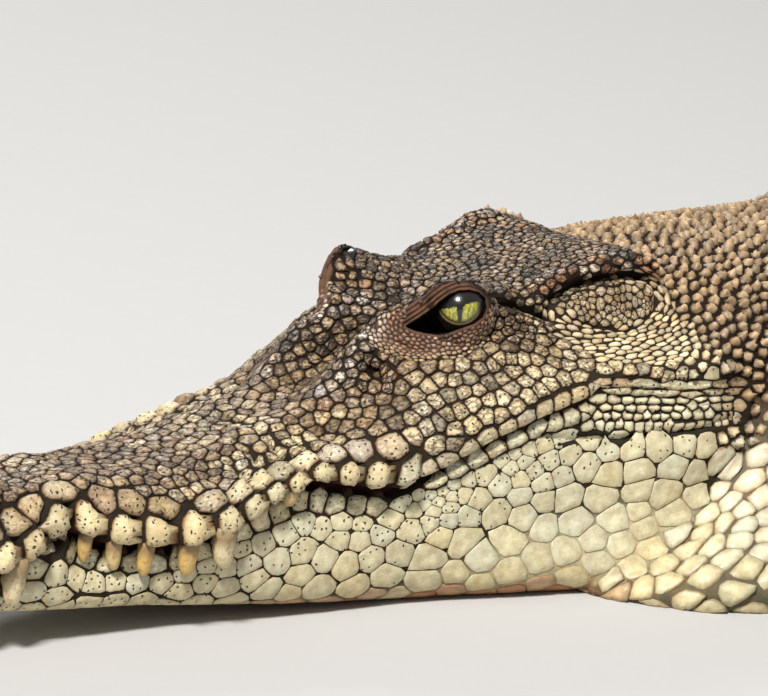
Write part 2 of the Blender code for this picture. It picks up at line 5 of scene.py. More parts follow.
import bmesh
import bpy
import numpy as np
from bpy.props import FloatProperty, FloatVectorProperty, PointerProperty
from mathutils import Matrix, Vector, kdtree
from mathutils.bvhtree import BVHTree


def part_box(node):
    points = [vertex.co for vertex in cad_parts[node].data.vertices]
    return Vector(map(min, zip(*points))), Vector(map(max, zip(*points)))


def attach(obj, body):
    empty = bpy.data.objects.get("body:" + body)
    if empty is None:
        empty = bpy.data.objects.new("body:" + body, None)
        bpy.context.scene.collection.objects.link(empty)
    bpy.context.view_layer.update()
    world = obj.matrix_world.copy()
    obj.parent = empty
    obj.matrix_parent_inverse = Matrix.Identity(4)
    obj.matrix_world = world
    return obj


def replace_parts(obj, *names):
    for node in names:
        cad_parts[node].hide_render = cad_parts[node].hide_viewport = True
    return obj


bl_info = {
    "name": "Saltwater crocodile",
    "version": (1, 0, 0),
    "blender": (4, 5, 0),
    "location": "3D View > Sidebar > Crocodile",
    "description": "Builds the hide, scales, eyes, teeth and claws of a resting crocodile",
    "category": "Object",
}

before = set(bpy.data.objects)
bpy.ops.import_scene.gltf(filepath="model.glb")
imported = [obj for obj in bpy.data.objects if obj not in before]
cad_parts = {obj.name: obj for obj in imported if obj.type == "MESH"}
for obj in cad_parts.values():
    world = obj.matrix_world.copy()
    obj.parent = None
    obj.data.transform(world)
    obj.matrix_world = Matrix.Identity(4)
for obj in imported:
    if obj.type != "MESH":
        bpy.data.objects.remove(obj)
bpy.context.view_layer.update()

# ---------------------------------------------------------------- places taken from the frame
# Length of the head's node in head lengths; all other measures are metres unless they say otherwise.
HEAD_SPAN = 1.06
HEAD_LOW, HEAD_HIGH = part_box("head")
HEAD = (HEAD_HIGH.x - HEAD_LOW.x) / HEAD_SPAN
SNOUT_X = HEAD_LOW.x
MIDLINE_Y = (HEAD_LOW.y + HEAD_HIGH.y) / 2
# Where the tail begins to sweep, behind the snout's tip, and how far its end is turned.
TRUNK_END = 1.96
TOTAL_LENGTH = 4.0
TAIL_SWEEP = math.radians(44)
CLAWS = [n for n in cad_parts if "_claw_" in n]
EYES = ("eye_left", "eye_right")
FLESH = sorted(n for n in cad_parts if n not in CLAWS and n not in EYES)

# ---------------------------------------------------------------- head curves, in head lengths
# Height of the mouth over the floor and half width of the head at the lips, behind the snout's tip.
LIP_HEIGHT = ((0, .088), (.06, .094), (.11, .108), (.165, .135), (.22, .112), (.30, .106),
              (.36, .120), (.42, .148), (.48, .165), (.54, .154), (.60, .147), (.66, .170),
              (.72, .199), (.79, .223), (.862, .244), (.95, .258), (1.06, .266))
LIP_HALF_WIDTH = ((0, .022), (.015, .050), (.045, .078), (.09, .090), (.13, .086), (.165, .074),
                  (.21, .090), (.28, .114), (.355, .139), (.47, .139), (.54, .152), (.62, .170),
                  (.70, .190), (.79, .205), (.88, .215), (.97, .228), (1.03, .246), (1.06, .247))
# How far the gap between the lips lies inside their edge.
MOUTH_INSET = ((0, .004), (.1, .013), (.5, .014), (.62, .009), (.75, .004), (.86, .001))
# Middle of the right eye; its radius is in metres.
EYE_PLACE = Vector((.727, .086, .327))
EYE_RADIUS = .0176


# ---------------------------------------------------------------- measures
def curve(keys, x):
    """Value at x on the straight runs between (x, value) keys."""
    return np.interp(x, [k[0] for k in keys], [k[1] for k in keys])


def ramp(low, high, x):
    """0 below low, 1 above high and smooth between them."""
    t = np.clip((x - low) / (high - low), 0, 1)
    return t * t * (3 - 2 * t)


def unit(v):
    """Rows of v at length one."""
    return v / np.maximum(np.linalg.norm(v, axis=-1, keepdims=True), 1e-12)


def waves(points, pitch, seed, count=24):
    """Even noise of about the pitch given, from -1 to 1."""
    rng = np.random.default_rng(seed)
    turn = unit(rng.normal(size=(count, 3))) * (math.tau / pitch * rng.uniform(.6, 1.5, (count, 1)))
    phase = rng.uniform(0, math.tau, count)
    total = np.zeros(len(points))
    for k, p in zip(turn, phase):
        total += np.sin(points @ k + p)
    return total / math.sqrt(count * .5) * .6


def bump(x, centre, width):
    """A round hill in x, one high."""
    return np.exp(-((x - centre) / width) ** 2)


def turns(sides):
    """Even angles once round."""
    return np.arange(sides) / sides * math.tau


def stacked(*columns):
    """Columns of numbers side by side as rows."""
    return np.stack(columns, 1)


def to_path(points, path):
    """Distance from each point to a path, and the share of the path passed there."""
    path = np.array(path, float)
    points = points[:, :path.shape[1]]
    spans = np.linalg.norm(np.diff(path, axis=0), axis=1)
    start = np.concatenate(([0], np.cumsum(spans)))
    best, where = np.full(len(points), 9.0), np.zeros(len(points))
    for i, span in enumerate(spans):
        way = (path[i + 1] - path[i]) / span
        t = np.clip((points - path[i]) @ way, 0, span)
        far = np.linalg.norm(points - path[i] - t[:, None] * way, axis=1)
        closer = far < best
        best = np.where(closer, far, best)
        where = np.where(closer, (start[i] + t) / start[-1], where)
    return best, where


def inside(points, outline):
    """True where a flat point lies within the closed outline."""
    outline = np.array(outline, float)
    hit = np.zeros(len(points), bool)
    x, y = points[:, 0], points[:, 1]
    for (x0, y0), (x1, y1) in zip(outline, np.roll(outline, -1, 0)):
        cut = (y0 > y) != (y1 > y)
        hit ^= cut & (x < (x1 - x0) * (y - y0) / (y1 - y0 + 1e-12) + x0)
    return hit


def hollow(points, path, width):
    """1 on the path and falling off to each side of it."""
    return bump(to_path(points, path)[0], 0, width)


def beyond(points, outline):
    """Distance outside the closed outline, negative within."""
    closed = list(outline) + [outline[0]]
    far, _ = to_path(points, closed)
    return np.where(inside(points, outline), -far, far)


# ---------------------------------------------------------------- the spine
def spine():
    """Points every centimetre along the spine, with the heading at each."""
    steps = np.arange(0, TOTAL_LENGTH + .005, .01)
    share = np.clip((steps - TRUNK_END) / (TOTAL_LENGTH - TRUNK_END), 0, 1)
    heading = TAIL_SWEEP * share * (1.6 - .6 * share)
    move = np.diff(steps, prepend=0)
    x = SNOUT_X + np.cumsum(np.cos(heading) * move)
    y = MIDLINE_Y + np.cumsum(np.sin(heading) * move)
    return steps, x, y, heading


SPINE = spine()
# Points measured at once, to spare memory.
AT_ONCE = 20000


def along_body(points):
    """Distance behind the snout tip, offset to the right of the spine, and heading there."""
    steps, x, y, heading = SPINE
    s = points[:, 0] - SNOUT_X
    o = points[:, 1] - MIDLINE_Y
    h = np.zeros(len(points))
    tail = np.nonzero(s > TRUNK_END - .02)[0]
    first = np.searchsorted(steps, TRUNK_END - .05)
    for part in np.array_split(tail, max(1, len(tail) // AT_ONCE)):
        if not len(part):
            continue
        gap = np.hypot(points[part, 0:1] - x[None, first:], points[part, 1:2] - y[None, first:])
        near = gap.argmin(1) + first
        turn = heading[near]
        dx, dy = points[part, 0] - x[near], points[part, 1] - y[near]
        s[part] = steps[near] + dx * np.cos(turn) + dy * np.sin(turn)
        o[part] = -dx * np.sin(turn) + dy * np.cos(turn)
        h[part] = turn
    return s, o, h


# Height of the back and half width of the trunk and tail, by the distance behind the snout's tip.
BODY_HEIGHT = ((0, .09), (.583, .210), (.72, .209), (.88, .207), (1.04, .230), (1.2, .276),
               (1.38, .305), (1.58, .297), (1.75, .266), (1.96, .226), (2.15, .205), (2.4, .180),
               (2.88, .140), (3.4, .098), (3.8, .056), (4.0, .020))
BODY_HALF_WIDTH = ((.583, .176), (.62, .172), (.72, .178), (.88, .192), (1.04, .234), (1.2, .280),
                   (1.38, .294), (1.58, .276), (1.75, .240), (1.96, .180), (2.15, .152),
                   (2.4, .122), (2.88, .080), (3.4, .043), (3.8, .018), (4.0, .006))


# ---------------------------------------------------------------- mesh helpers
def points_of(mesh):
    """The mesh's vertices as an array."""
    co = np.empty(len(mesh.vertices) * 3, np.float64)
    mesh.vertices.foreach_get("co", co)
    return co.reshape(-1, 3)


def normals_of(mesh):
    """The mesh's vertex normals as an array."""
    no = np.empty(len(mesh.vertices) * 3, np.float32)
    mesh.vertex_normals.foreach_get("vector", no)
    return no.reshape(-1, 3).astype(np.float64)


def edges_of(mesh):
    """The mesh's edges as an array of vertex pairs."""
    e = np.empty(len(mesh.edges) * 2, np.int32)
    mesh.edges.foreach_get("vertices", e)
    return e.reshape(-1, 2)


def put_points(mesh, co):
    """Moves the mesh's vertices."""
    mesh.vertices.foreach_set("co", np.ascontiguousarray(co, np.float32).ravel())
    mesh.update()


# Strength of the two turns of smoothing: one that shrinks and one that swells.
SHRINK, SWELL = .62, -.60


def relax(mesh, share, rounds):
    """Smooths the mesh, each vertex by its own share, without the loss of volume."""
    e = edges_of(mesh)
    a, b = np.concatenate((e[:, 0], e[:, 1])), np.concatenate((e[:, 1], e[:, 0]))
    co = points_of(mesh)
    count = np.maximum(np.bincount(a, minlength=len(co)), 1)
    for step in range(rounds):
        amount = SHRINK if step % 2 == 0 else SWELL
        mean = np.stack([np.bincount(a, co[b, i], len(co)) / count for i in range(3)], 1)
        co += (mean - co) * (amount * share)[:, None]
    put_points(mesh, co)


def mesh_object(name, mesh, material):
    """A smooth object of the mesh that rides on the frame."""
    piece = bpy.data.objects.new(name, mesh)
    bpy.context.scene.collection.objects.link(piece)
    if material:
        mesh.materials.append(material)
    mesh.polygons.foreach_set("use_smooth", np.ones(len(mesh.polygons), bool))
    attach(piece, "root")
    return piece


# ---------------------------------------------------------------- the skin
# How far each flesh node swells to close the frame's cuts, and the rounds that smooth the joined flesh.
SEAM = .0012
ROUNDING = 40
# The frame's teeth stand this far past the mouth's line, and end here (in head lengths).
TOOTH_SHOWS, TEETH_END = .004, .5
# Points less than this under the tail's back belong to the frame's fins, which are set this deep.
FIN_SHOWS, FIN_SUNK = .006, .008


def flesh_mesh():
    """The frame's flesh as one closed mesh, without its teeth and crest fins."""
    out = bmesh.new()
    for name in FLESH:
        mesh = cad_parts[name].data.copy()
        part = bmesh.new()
        part.from_mesh(mesh)
        bmesh.ops.remove_doubles(part, verts=part.verts, dist=1e-6)
        part.normal_update()
        for v in part.verts:
            v.co += v.normal * SEAM
        part.to_mesh(mesh)
        part.free()
        co = points_of(mesh)
        x = (co[:, 0] - SNOUT_X) / HEAD
        mouth = curve(LIP_HEIGHT, x) * HEAD
        if name == "head":
            low = (co[:, 2] < mouth - TOOTH_SHOWS) & (x < TEETH_END)
            co[low, 2] = mouth[low]
        if name == "lower_jaw":
            high = (co[:, 2] > mouth + TOOTH_SHOWS) & (x < TEETH_END)
            co[high, 2] = mouth[high]
        if name.startswith("tail"):
            s, _, _ = along_body(co)
            top = curve(BODY_HEIGHT, s)
            fin = co[:, 2] > top - FIN_SHOWS
            co[fin, 2] = top[fin] - FIN_SUNK
        put_points(mesh, co)
        out.from_mesh(mesh)
        bpy.data.meshes.remove(mesh)
    mesh = bpy.data.meshes.new("hide")
    out.to_mesh(mesh)
    out.free()
    return mesh


def remeshed(mesh, voxel):
    """The mesh made again from even quads."""
    helper = bpy.data.objects.new("helper", mesh)
    bpy.context.scene.collection.objects.link(helper)
    remesh = helper.modifiers.new("Remesh", "REMESH")
    remesh.mode = "VOXEL"
    remesh.voxel_size = voxel
    graph = bpy.context.evaluated_depsgraph_get()
    result = bpy.data.meshes.new_from_object(helper.evaluated_get(graph))
    bpy.data.objects.remove(helper)
    return result


def refined(mesh, wanted):
    """The mesh with every face cut in four where wanted(points) is true."""
    bm = bmesh.new()
    bm.from_mesh(mesh)
    bm.verts.ensure_lookup_table()
    chosen = wanted(points_of(mesh))
    edges = [e for e in bm.edges if chosen[e.verts[0].index] and chosen[e.verts[1].index]]
    bmesh.ops.subdivide_edges(bm, edges=edges, cuts=1, use_grid_fill=True)
    bm.to_mesh(mesh)
    bm.free()
    return mesh


# ---------------------------------------------------------------- the eye's place
# Degrees from straight sideways, over level and about its own axis at which the left eye is met face on.
FACING = (45.3, 13.3, 5.5)


def eye_axes():
    """Rearward, upward and outward directions of the left eye's opening; the camera shares them."""
    turn, lift, roll = map(math.radians, FACING)
    out = np.array([-math.sin(turn) * math.cos(lift), -math.cos(turn) * math.cos(lift),
                    math.sin(lift)])
    back = unit(np.cross(-out, [0, 0, 1]))
    up = np.cross(back, -out)
    return (math.cos(roll) * back + math.sin(roll) * up,
            -math.sin(roll) * back + math.cos(roll) * up, out)


EYE_AXES = eye_axes()
# How far the eyeball sits rearward and upward of the place above.
EYE_SHIFT = (.0065, .0050)
EYE_AT = (np.array([EYE_PLACE[0] * HEAD, -EYE_PLACE[1] * HEAD, EYE_PLACE[2] * HEAD])
          + EYE_AXES[0] * EYE_SHIFT[0] + EYE_AXES[1] * EYE_SHIFT[1])
# Outline of the eye's opening and the line between its corners, rearward and upward of the eye's centre.
OPENING = ((-.0341, -.0125), (-.0250, -.0068), (-.0180, -.0018), (-.0125, .0032), (-.0070, .0072),
           (-.0005, .0100), (.0060, .0106), (.0120, .0092), (.0162, .0054), (.0170, -.0008),
           (.0147, -.0064), (.0092, -.0104), (.0005, -.0135), (-.0076, -.0165), (-.0137, -.0176),
           (-.0214, -.0166), (-.0285, -.0150))
OPENING_AXIS = ((-.034, .017), (-.0135, .0))
# Middle and half size of the lids, and the pitch of their wrinkles.
LID_CENTRE = (-.0205, -.0045)
LID_REACH = (.0415, .0270)
LID_WRINKLE = .0029
# How far under the lids' dome the skin is first filled, its most lift, and its depth under the eyeball.
LID_FILL, LID_LIFT, SOCKET_GAP = .011, .017, .0042


def left_half(co):
    """Points moved to the frame of the snout tip and folded onto the left side."""
    q = co - np.array([SNOUT_X, MIDLINE_Y, 0])
    side = np.where(q[:, 1] > 0, 1.0, -1.0)
    q[:, 1] = -np.abs(q[:, 1])
    return q, side


def head_lengths(q):
    """Folded points as head lengths behind the tip, aside of the midline and over the floor."""
    return q[:, 0] / HEAD, -q[:, 1] / HEAD, q[:, 2] / HEAD


def folded(rows, side):
    """Normals turned as left_half turns their points, or folded points turned back."""
    rows = rows.copy()
    rows[:, 1] *= -side
    return rows


def eye_frame(q):
    """Rearward, upward and outward places of folded points about the eye."""
    d = q - EYE_AT
    return d @ EYE_AXES[0], d @ EYE_AXES[1], d @ EYE_AXES[2]


def near_eye(u, v, w):
    """True about the eye."""
    return (np.abs(u) < .075) & (np.abs(v) < .05) & (w > -.03)


def off_opening(u, v):
    """Distance outside the eye's opening, negative within."""
    return beyond(stacked(u, v), OPENING)


def from_lids(u, v):
    """Distance from the middle of the lids, 1 about at their outer edge."""
    return np.hypot((u - LID_CENTRE[0]) / LID_REACH[0], (v - LID_CENTRE[1]) / LID_REACH[1])


def on_lids(q, normals, side):
    """Distance from the middle of the lids, and whether a place is on their outward face."""
    u, v, w = eye_frame(q)
    far = from_lids(u, v)
    facing = folded(normals, side) @ EYE_AXES[2] > .30
    return far, (w > -.004) & (far < 1.12) & (q[:, 1] < -.03 * HEAD) & facing


# Paths on the side of the head, in head lengths behind the tip and over the floor.
EAR_FLAP = ((.852, .322), (.879, .3165), (.918, .3075), (.958, .3025), (.995, .3085), (1.022, .322),
            (1.030, .340), (1.020, .354), (.985, .3585), (.940, .357), (.900, .349), (.870, .338))
EAR_SLIT = ((.785, .3440), (.82, .3335), (.858, .3215))
EAR_ROOF = ((.868, .343), (.905, .3545), (.95, .362), (.985, .365), (1.017, .3575))
EAR_RIM = ((.862, .3175), (.90, .3085), (.94, .3000))
CORNER_FOLD = ((.775, .205), (.83, .1915), (.90, .189), (1.0, .194), (1.085, .204))
# The fold between jaw and throat: behind the tip, aside and over the floor.
JAW_FOLD = ((.87, .235, .012), (.941, .256, .041), (1.015, .265, .085), (1.08, .265, .146),
            (1.10, .266, .189), (1.112, .255, .225))
# Place, depth and width of each pit under the eye.
CHEEK_PITS = (((.620, .076, .262), .012, .011), ((.576, .070, .245), .005, .010))
# The nostril, behind the tip and aside.
NOSTRIL = ((.052, .026), (.066, .032), (.080, .026))
# Reach of the rings of scales round the ear's flap, end of the mouth, and rows of stretch folds.
EAR_RINGS = .030
CORNER = .866
FOLD_ROWS = 6
# Length and breadth of the scales on each fold.
FOLD_SIZES = ((.019, .0042), (.016, .0044), (.0115, .0052), (.0092, .0060), (.0078, .0066),
              (.0076, .0068))


def fold_row(row, x):
    """Height of a stretch fold behind the mouth's corner, in head lengths."""
    return .2585 - .0098 * row - (.08 - .006 * row) * (x - .85) - .10 * np.maximum(.87 - x, 0)


# Middles of the upper lip's lobes, in head lengths behind the snout's tip.
LOBES = (.012, .040, .075, .111, .150, .192, .230, .268, .311, .352, .388, .420, .452, .486, .520,
         .560, .600)


def lobe_gap(x):
    """0 at the middle of a lobe of the upper lip, 1 between two."""
    lobes = np.array(LOBES)
    between = (lobes[:-1] + lobes[1:]) / 2
    ends = np.concatenate(([lobes[0] - .014], between, [lobes[-1] + .02]))
    index = np.clip(np.searchsorted(ends, x) - 1, 0, len(lobes) - 1)
    half = np.where(x > lobes[index], ends[index + 1] - lobes[index], lobes[index] - ends[index])
    return np.clip(np.abs(x - lobes[index]) / half, 0, 1)


def throat_side(x, z):
    """How far a place lies behind and below the fold between jaw and throat."""
    path = sorted((p[0], p[2]) for p in JAW_FOLD)
    return np.where(x > path[0][0], curve(path, x) - z, -1)


def behind_jaw(x, z):
    """1 behind the fold between jaw and throat, 0 before it."""
    return ramp(-.004, .012, throat_side(x, z))


def shape_ear(out, x, a, z):
    """Adds the ear's slit, roof, flap and rim to how far the skin rises."""
    flat = stacked(x, z)
    outer = ramp(.085, .10, a)
    out -= outer * .007 * hollow(flat, EAR_SLIT, .0052)
    far, t = to_path(flat, EAR_ROOF)
    above = z > curve(EAR_ROOF, x)
    out -= outer * .008 * bump(far, 0, .0052) * (.5 + .5 * ramp(.0, .5, t))
    out += outer * above * .0035 * bump(far, .016, .012)
    far = beyond(flat, EAR_FLAP)
    out += outer * (.0022 * (1 - ramp(-.008, .001, far)) - .0026 * bump(far, .001, .0026))
    out += outer * .0008 * bump(far, -.011, .003) * ramp(.93, 1.0, x)
    rings = np.sin(math.tau * far / .0095) * ramp(.002, .006, far) * (1 - ramp(.024, .036, far))
    out += outer * .0009 * rings * np.maximum(ramp(.97, 1.0, x), 1 - ramp(.31, .33, z)) * (z < .375)
    out += outer * .0022 * hollow(flat, EAR_RIM, .0038)


def shape_folds(out, x, a, z):
    """Adds the stretch folds behind the mouth's corner and the fold between jaw and throat."""
    low = a > .17
    for row in range(FOLD_ROWS + 1):
        along = ramp(.85, .875, x) * (1 - ramp(1.07, 1.11, x))
        out -= low * along * .0016 * bump(z, fold_row(row - .5, x), .0021)
    far, t = to_path(stacked(x, z), CORNER_FOLD)
    out -= low * .0042 * bump(far, 0, .0042) * np.sin(np.pi * np.clip(t, .04, .96)) ** .4
    far, _ = to_path(stacked(x, a, z), JAW_FOLD)
    out -= .0060 * bump(far, 0, .007)
    out += .0045 * behind_jaw(x, z) * bump(far, .030, .022) * (z < .2)


def shape_head(co, normals):
    """The skin's points with the head's ridges, lids, ears, mouth and folds worked in."""
    q, side = left_half(co)
    n = folded(normals, side)
    x, a, z = head_lengths(q)
    on_head = 1 - ramp(1.15, 1.25, x)
    out = np.zeros(len(co))
    # brow swelling in front of the eye
    lift = .024 * bump(x, .648, .046) * bump(a, .045, .030)
    lift += .015 * bump(x, .600, .040) * bump(a, .055, .030)
    lift = lift * HEAD * ramp(.20, .24, z)
    # rugged bone of the snout and skull
    top = ramp(.02, .05, z - curve(LIP_HEIGHT, x))
    out += on_head * top * (.0009 * waves(q, .034, 1, 60) + .0005 * waves(q, .013, 2, 60))
    # lobes of the upper lip
    lip = curve(LIP_HEIGHT, x)
    nearest = lobe_gap(x)
    front = 1 - ramp(.60, .64, x)
    out += .0050 * (1 - ramp(.25, 1.0, nearest)) * bump(z, lip + .020, .020) * ramp(.0, .02, x) * front
    out -= .0030 * ramp(.6, 1.0, nearest) * bump(z, lip + .016, .018) * front
    # pits under the front of the eye
    for place, deep, wide in CHEEK_PITS:
        out -= deep * bump(np.linalg.norm(stacked(x, a, z) - np.array(place), axis=1), 0, wide)
    shape_ear(out, x, a, z)
    shape_folds(out, x, a, z)
    # nostrils on a low disc
    over = ramp(.13, .15, z)
    out += on_head * over * .004 * (1 - ramp(.035, .058, np.hypot(x - .062, a)))
    out -= over * .006 * hollow(stacked(x, a), NOSTRIL, .006)
    q += n * out[:, None]
    q[:, 2] += lift
    # the flesh under jaw and throat spreads where it lies on the floor
    behind = behind_jaw(x, z)
    spread = .030 * ramp(.60, .82, x) * (1 - ramp(.88, 1.0, x)) * (1 - ramp(.015, .11, z))
    spread += .062 * ramp(.82, .98, x) * (1 - ramp(1.10, 1.75, x)) * (1 - ramp(.01, .13, z)) * behind
    spread += .055 * ramp(1.07, 1.15, x) * (1 - ramp(1.15, 1.70, x)) * (1 - ramp(.02, .14, z))
    q[:, 1] -= HEAD * spread * ramp(.06, .20, a) * (1 - ramp(.43, .50, a))
    q = shape_mouth(q, n)
    q = shape_lids(q)
    return folded(q, side) + np.array([SNOUT_X, MIDLINE_Y, 0])


def shape_mouth(q, n):
    """Cuts the gap between the lips into folded points."""
    x, a, z = head_lengths(q)
    line = curve(LIP_HEIGHT, x) - .005 + .010 * ramp(.55, 1.0, lobe_gap(x)) * (1 - ramp(.58, .62, x))
    edge = curve(LIP_HALF_WIDTH, x) - curve(MOUTH_INSET, x)
    open_share = ramp(-.01, .01, x) * (1 - .75 * ramp(.60, .74, x)) * (1 - ramp(.85, .875, x))
    near = np.exp(-(((z - line) / .0062) ** 4)) * ramp(-.035, -.015, a - edge)
    q[:, 1] += .0105 * open_share * near
    rim = bump(z, line - .013, .008) * ramp(.58, .66, x) * (1 - ramp(.84, .87, x)) * ramp(.1, .12, a)
    q += n * (.0022 * rim)[:, None]
    return q


def shape_lids(q):
    """Raises the lids over the eye and sinks the opening between them."""
    u, v, w = eye_frame(q)
    near = np.nonzero(near_eye(u, v, w) & (w < .05))[0]
    u, v, w = u[near], v[near], w[near]
    far = from_lids(u, v)
    mask = (1 - ramp(.80, 1.22, far)) * ramp(.010, .066, -q[near, 1] / HEAD)
    dome = .019 - .014 * ((u + .014) / .050) ** 2 - .013 * ((v + .001) / .032) ** 2
    gap = off_opening(u, v)
    upper = ramp(-.006, .004, v - np.interp(u, *OPENING_AXIS))
    ridge = .0008 * np.sin(math.tau * gap / LID_WRINKLE) * ramp(.001, .003, gap)
    ridge *= 1 - ramp(.013, .018, gap)
    dome += upper * (.0022 * (1 - ramp(.0, .010, np.abs(gap - .003))) + ridge)
    dome -= (1 - upper) * (.0022 * bump(gap, .0125, .0018) - .0010 * bump(gap, .002, .002))
    filled = w + np.maximum(dome - LID_FILL - w, 0) * mask
    lift = np.maximum(dome, filled * .35 + dome * .65) - filled
    raised = filled + LID_LIFT * np.tanh(lift / LID_LIFT) * mask
    floor = np.sqrt(np.maximum(EYE_RADIUS ** 2 - (u * u + v * v), 0)) - SOCKET_GAP
    sunk = ramp(-.0012, .0002, -gap - .0004)
    new = raised * (1 - sunk) + np.minimum(floor, raised) * sunk
    new -= .0022 * bump(far, 1.10, .05)
    q[near] += EYE_AXES[2] * (new - w)[:, None]
    return q


def base_skin():
    """The flesh remeshed, rounded and set in by the depth of the scales."""
    settings = bpy.context.scene.crocodile_body
    mesh = remeshed(flesh_mesh(), settings.voxel)
    co = points_of(mesh)
    s, o, _ = along_body(co)
    hands = ramp(.26, .30, np.abs(o)) * ramp(.76, .79, s) * (1 - ramp(.93, .98, s))
    feet = ramp(.34, .38, np.abs(o)) * ramp(1.64, 1.67, s) * (1 - ramp(1.89, 1.94, s))
    toes = np.maximum(hands, feet)
    share = np.where(s < HEAD_SPAN * HEAD, .5, 1 - .96 * toes)
    relax(mesh, share, ROUNDING)
    depth = (SEAM + settings.coat_depth) * (1 - .5 * toes)
    put_points(mesh, points_of(mesh) - normals_of(mesh) * depth[:, None])
    return mesh


def head_skin(mesh):
    """Refines the head's skin and works its shape in."""
    def near_head(p):
        """The head and the nape behind it."""
        return p[:, 0] < SNOUT_X + 1.22 * HEAD

    def near_detail(p):
        """The mouth, ears, folds and eyes."""
        q, _ = left_half(p)
        x, a, z = head_lengths(q)
        mouth = (np.abs(z - curve(LIP_HEIGHT, x)) < .030) & (x < .9)
        ear = (x > .76) & (x < 1.1) & (a > .08) & (z > .28)
        folds = (x > .74) & (x < 1.13) & (a > .17) & (z > .15)
        return (mouth & (a > .01)) | ear | folds | near_eye(*eye_frame(q))

    def near_lids(p):
        """The lids."""
        u, v, w = eye_frame(left_half(p)[0])
        return (u > -.062) & (u < .036) & (np.abs(v) < .034) & (w > -.03)

    def near_opening(p):
        """The rim of the eye's opening."""
        u, v, w = eye_frame(left_half(p)[0])
        return (np.abs(off_opening(u, v)) < .0045) & (w > -.03)

    for wanted in (near_head, near_detail, near_lids, near_opening):
        mesh = refined(mesh, wanted)
    front = points_of(mesh)[:, 0] - SNOUT_X < 1.25 * HEAD
    relax(mesh, np.where(front, .8, 0), 12)
    put_points(mesh, shape_head(points_of(mesh), normals_of(mesh)))
    relax(mesh, np.where(front, .35, 0), 2)
    return mesh


# ---------------------------------------------------------------- kinds of scale
# Rings of a scale from its rim inward: the ring's share of the scale's reach, and of its thickness.
PROFILES = {
    "flat": ((1.0, -.8), (.98, .35), (.92, .85), (.50, 1.0)),
    "slab": ((1.0, -.5), (.985, .6), (.93, 1.0), (.60, 1.25), (.28, 1.35)),
    "dome": ((1.0, -.6), (.97, .22), (.82, .72), (.45, .95)),
    "cone": ((1.0, -.35), (.88, .18), (.50, .62)),
    "knob": ((1.0, -.35), (.92, .12), (.66, .34), (.50, .78)),
    "bead": ((1.0, -.25), (.82, .55)),
    "scute": ((1.0, -.35), (.93, .35), (.72, .62), (.35, .80)),
}


class Kind:
    """Form and finish of one sort of scale.

    Breadth for its length, thickness, gap to the next (both in metres), corners, profile and how sharp
    they are; shares of cracks and pores; height of its keel; slope; how far it grows past its usual
    size; how much its tint and its surface vary; how dark its rim is, by stain and painted shade; how
    strongly painted light lightens its middle while painted shade and some dirt darken its rim; overlap.
    """

    def __init__(self, narrow, height, gap, sides, profile, crisp=14, crack=0, dots=0, keel=0, tilt=0,
                 reach=1.0, shade=.12, lump=.12, rim=1, fade=.3, lap=0):
        self.narrow, self.height, self.gap = narrow, height, gap
        self.sides, self.profile, self.crisp = sides, PROFILES[profile], crisp
        self.crack, self.dots, self.keel, self.tilt = crack, dots, keel, tilt
        self.reach, self.shade, self.lump, self.rim, self.fade = reach, shade, lump, rim, fade
        self.lap = lap


# fade lightens each scale's middle with painted light and darkens its rim with painted shade and some
# dirt.
KINDS = {
    "snout": Kind(.85, .0017, .0006, 11, "flat", 26, crack=1.0, dots=.3, shade=.11, reach=1.1),
    "table": Kind(.85, .0014, .0005, 10, "flat", 20, crack=1.0, dots=.2, shade=.13, reach=1.1),
    "face": Kind(.90, .0015, .0004, 14, "flat", 30, crack=.65, dots=.60, shade=.09, reach=1.1),
    "lip": Kind(1.12, .0042, .0004, 20, "dome", 22, crack=.10, dots=.85, shade=.08, reach=1.15,
                fade=.45),
    "lip_row": Kind(.86, .0032, .0004, 16, "dome", 30, crack=.25, dots=.8, shade=.09, reach=1.35,
                    fade=.4),
    "lower_lip": Kind(.73, .0022, .0005, 14, "dome", 20, crack=.25, dots=.6, shade=.08, reach=1.2),
    "jaw": Kind(.81, .0007, .0005, 16, "slab", 40, crack=.05, dots=.45, shade=.035, rim=.25, fade=.1),
    "lid": Kind(.77, .0006, .0002, 7, "bead", 10, shade=.30, reach=.9),
    "ear": Kind(.80, .0007, .0003, 9, "flat", 20, crack=.5, dots=.2, shade=.10),
    "ear_rim": Kind(.42, .0008, .0003, 8, "bead", 12, shade=.18),
    "band": Kind(.42, .0010, .0003, 12, "flat", 16, crack=.3, dots=.3, shade=.08, reach=2.2),
    "fold": Kind(.75, .0016, .0005, 12, "dome", 14, dots=.12, shade=.10, reach=1.1, fade=.5),
    "neck": Kind(.91, .0044, .0014, 10, "knob", 10, shade=.22, lump=.2, reach=.9, fade=.85),
    "throat": Kind(.66, .0030, .0002, 14, "dome", 14, tilt=.13, shade=.05, rim=.7, fade=.38, lap=.16),
    "nuchal": Kind(.88, .0090, .0010, 20, "scute", 16, keel=.013, reach=.85, shade=.12),
    "scute": Kind(.80, .0050, .0012, 18, "scute", 16, keel=.010, reach=.85, shade=.14),
    "flank": Kind(.70, .0032, .0010, 10, "dome", 14, shade=.14, reach=1.0, fade=.4),
    "belly": Kind(.89, .0008, .0006, 10, "flat", 24, shade=.06),
    "whorl": Kind(.52, .0022, .0008, 12, "flat", 24, shade=.12),
    "limb": Kind(.77, .0020, .0006, 8, "cone", 10, tilt=.06, shade=.14, reach=.9, fade=.4),
    "foot": Kind(.89, .0012, .0005, 7, "bead", 10, shade=.14, reach=.9, fade=.4),
    "bare": Kind(.90, 0, 0, 3, "bead"),
}
KIND_NAMES = list(KINDS)


def kind_index(*names):
    """Numbers of the kinds named."""
    return [KIND_NAMES.index(name) for name in names]


def usual_length(name):
    """Length that the settings give to scales of one kind."""
    return getattr(bpy.context.scene.crocodile_scales, name)


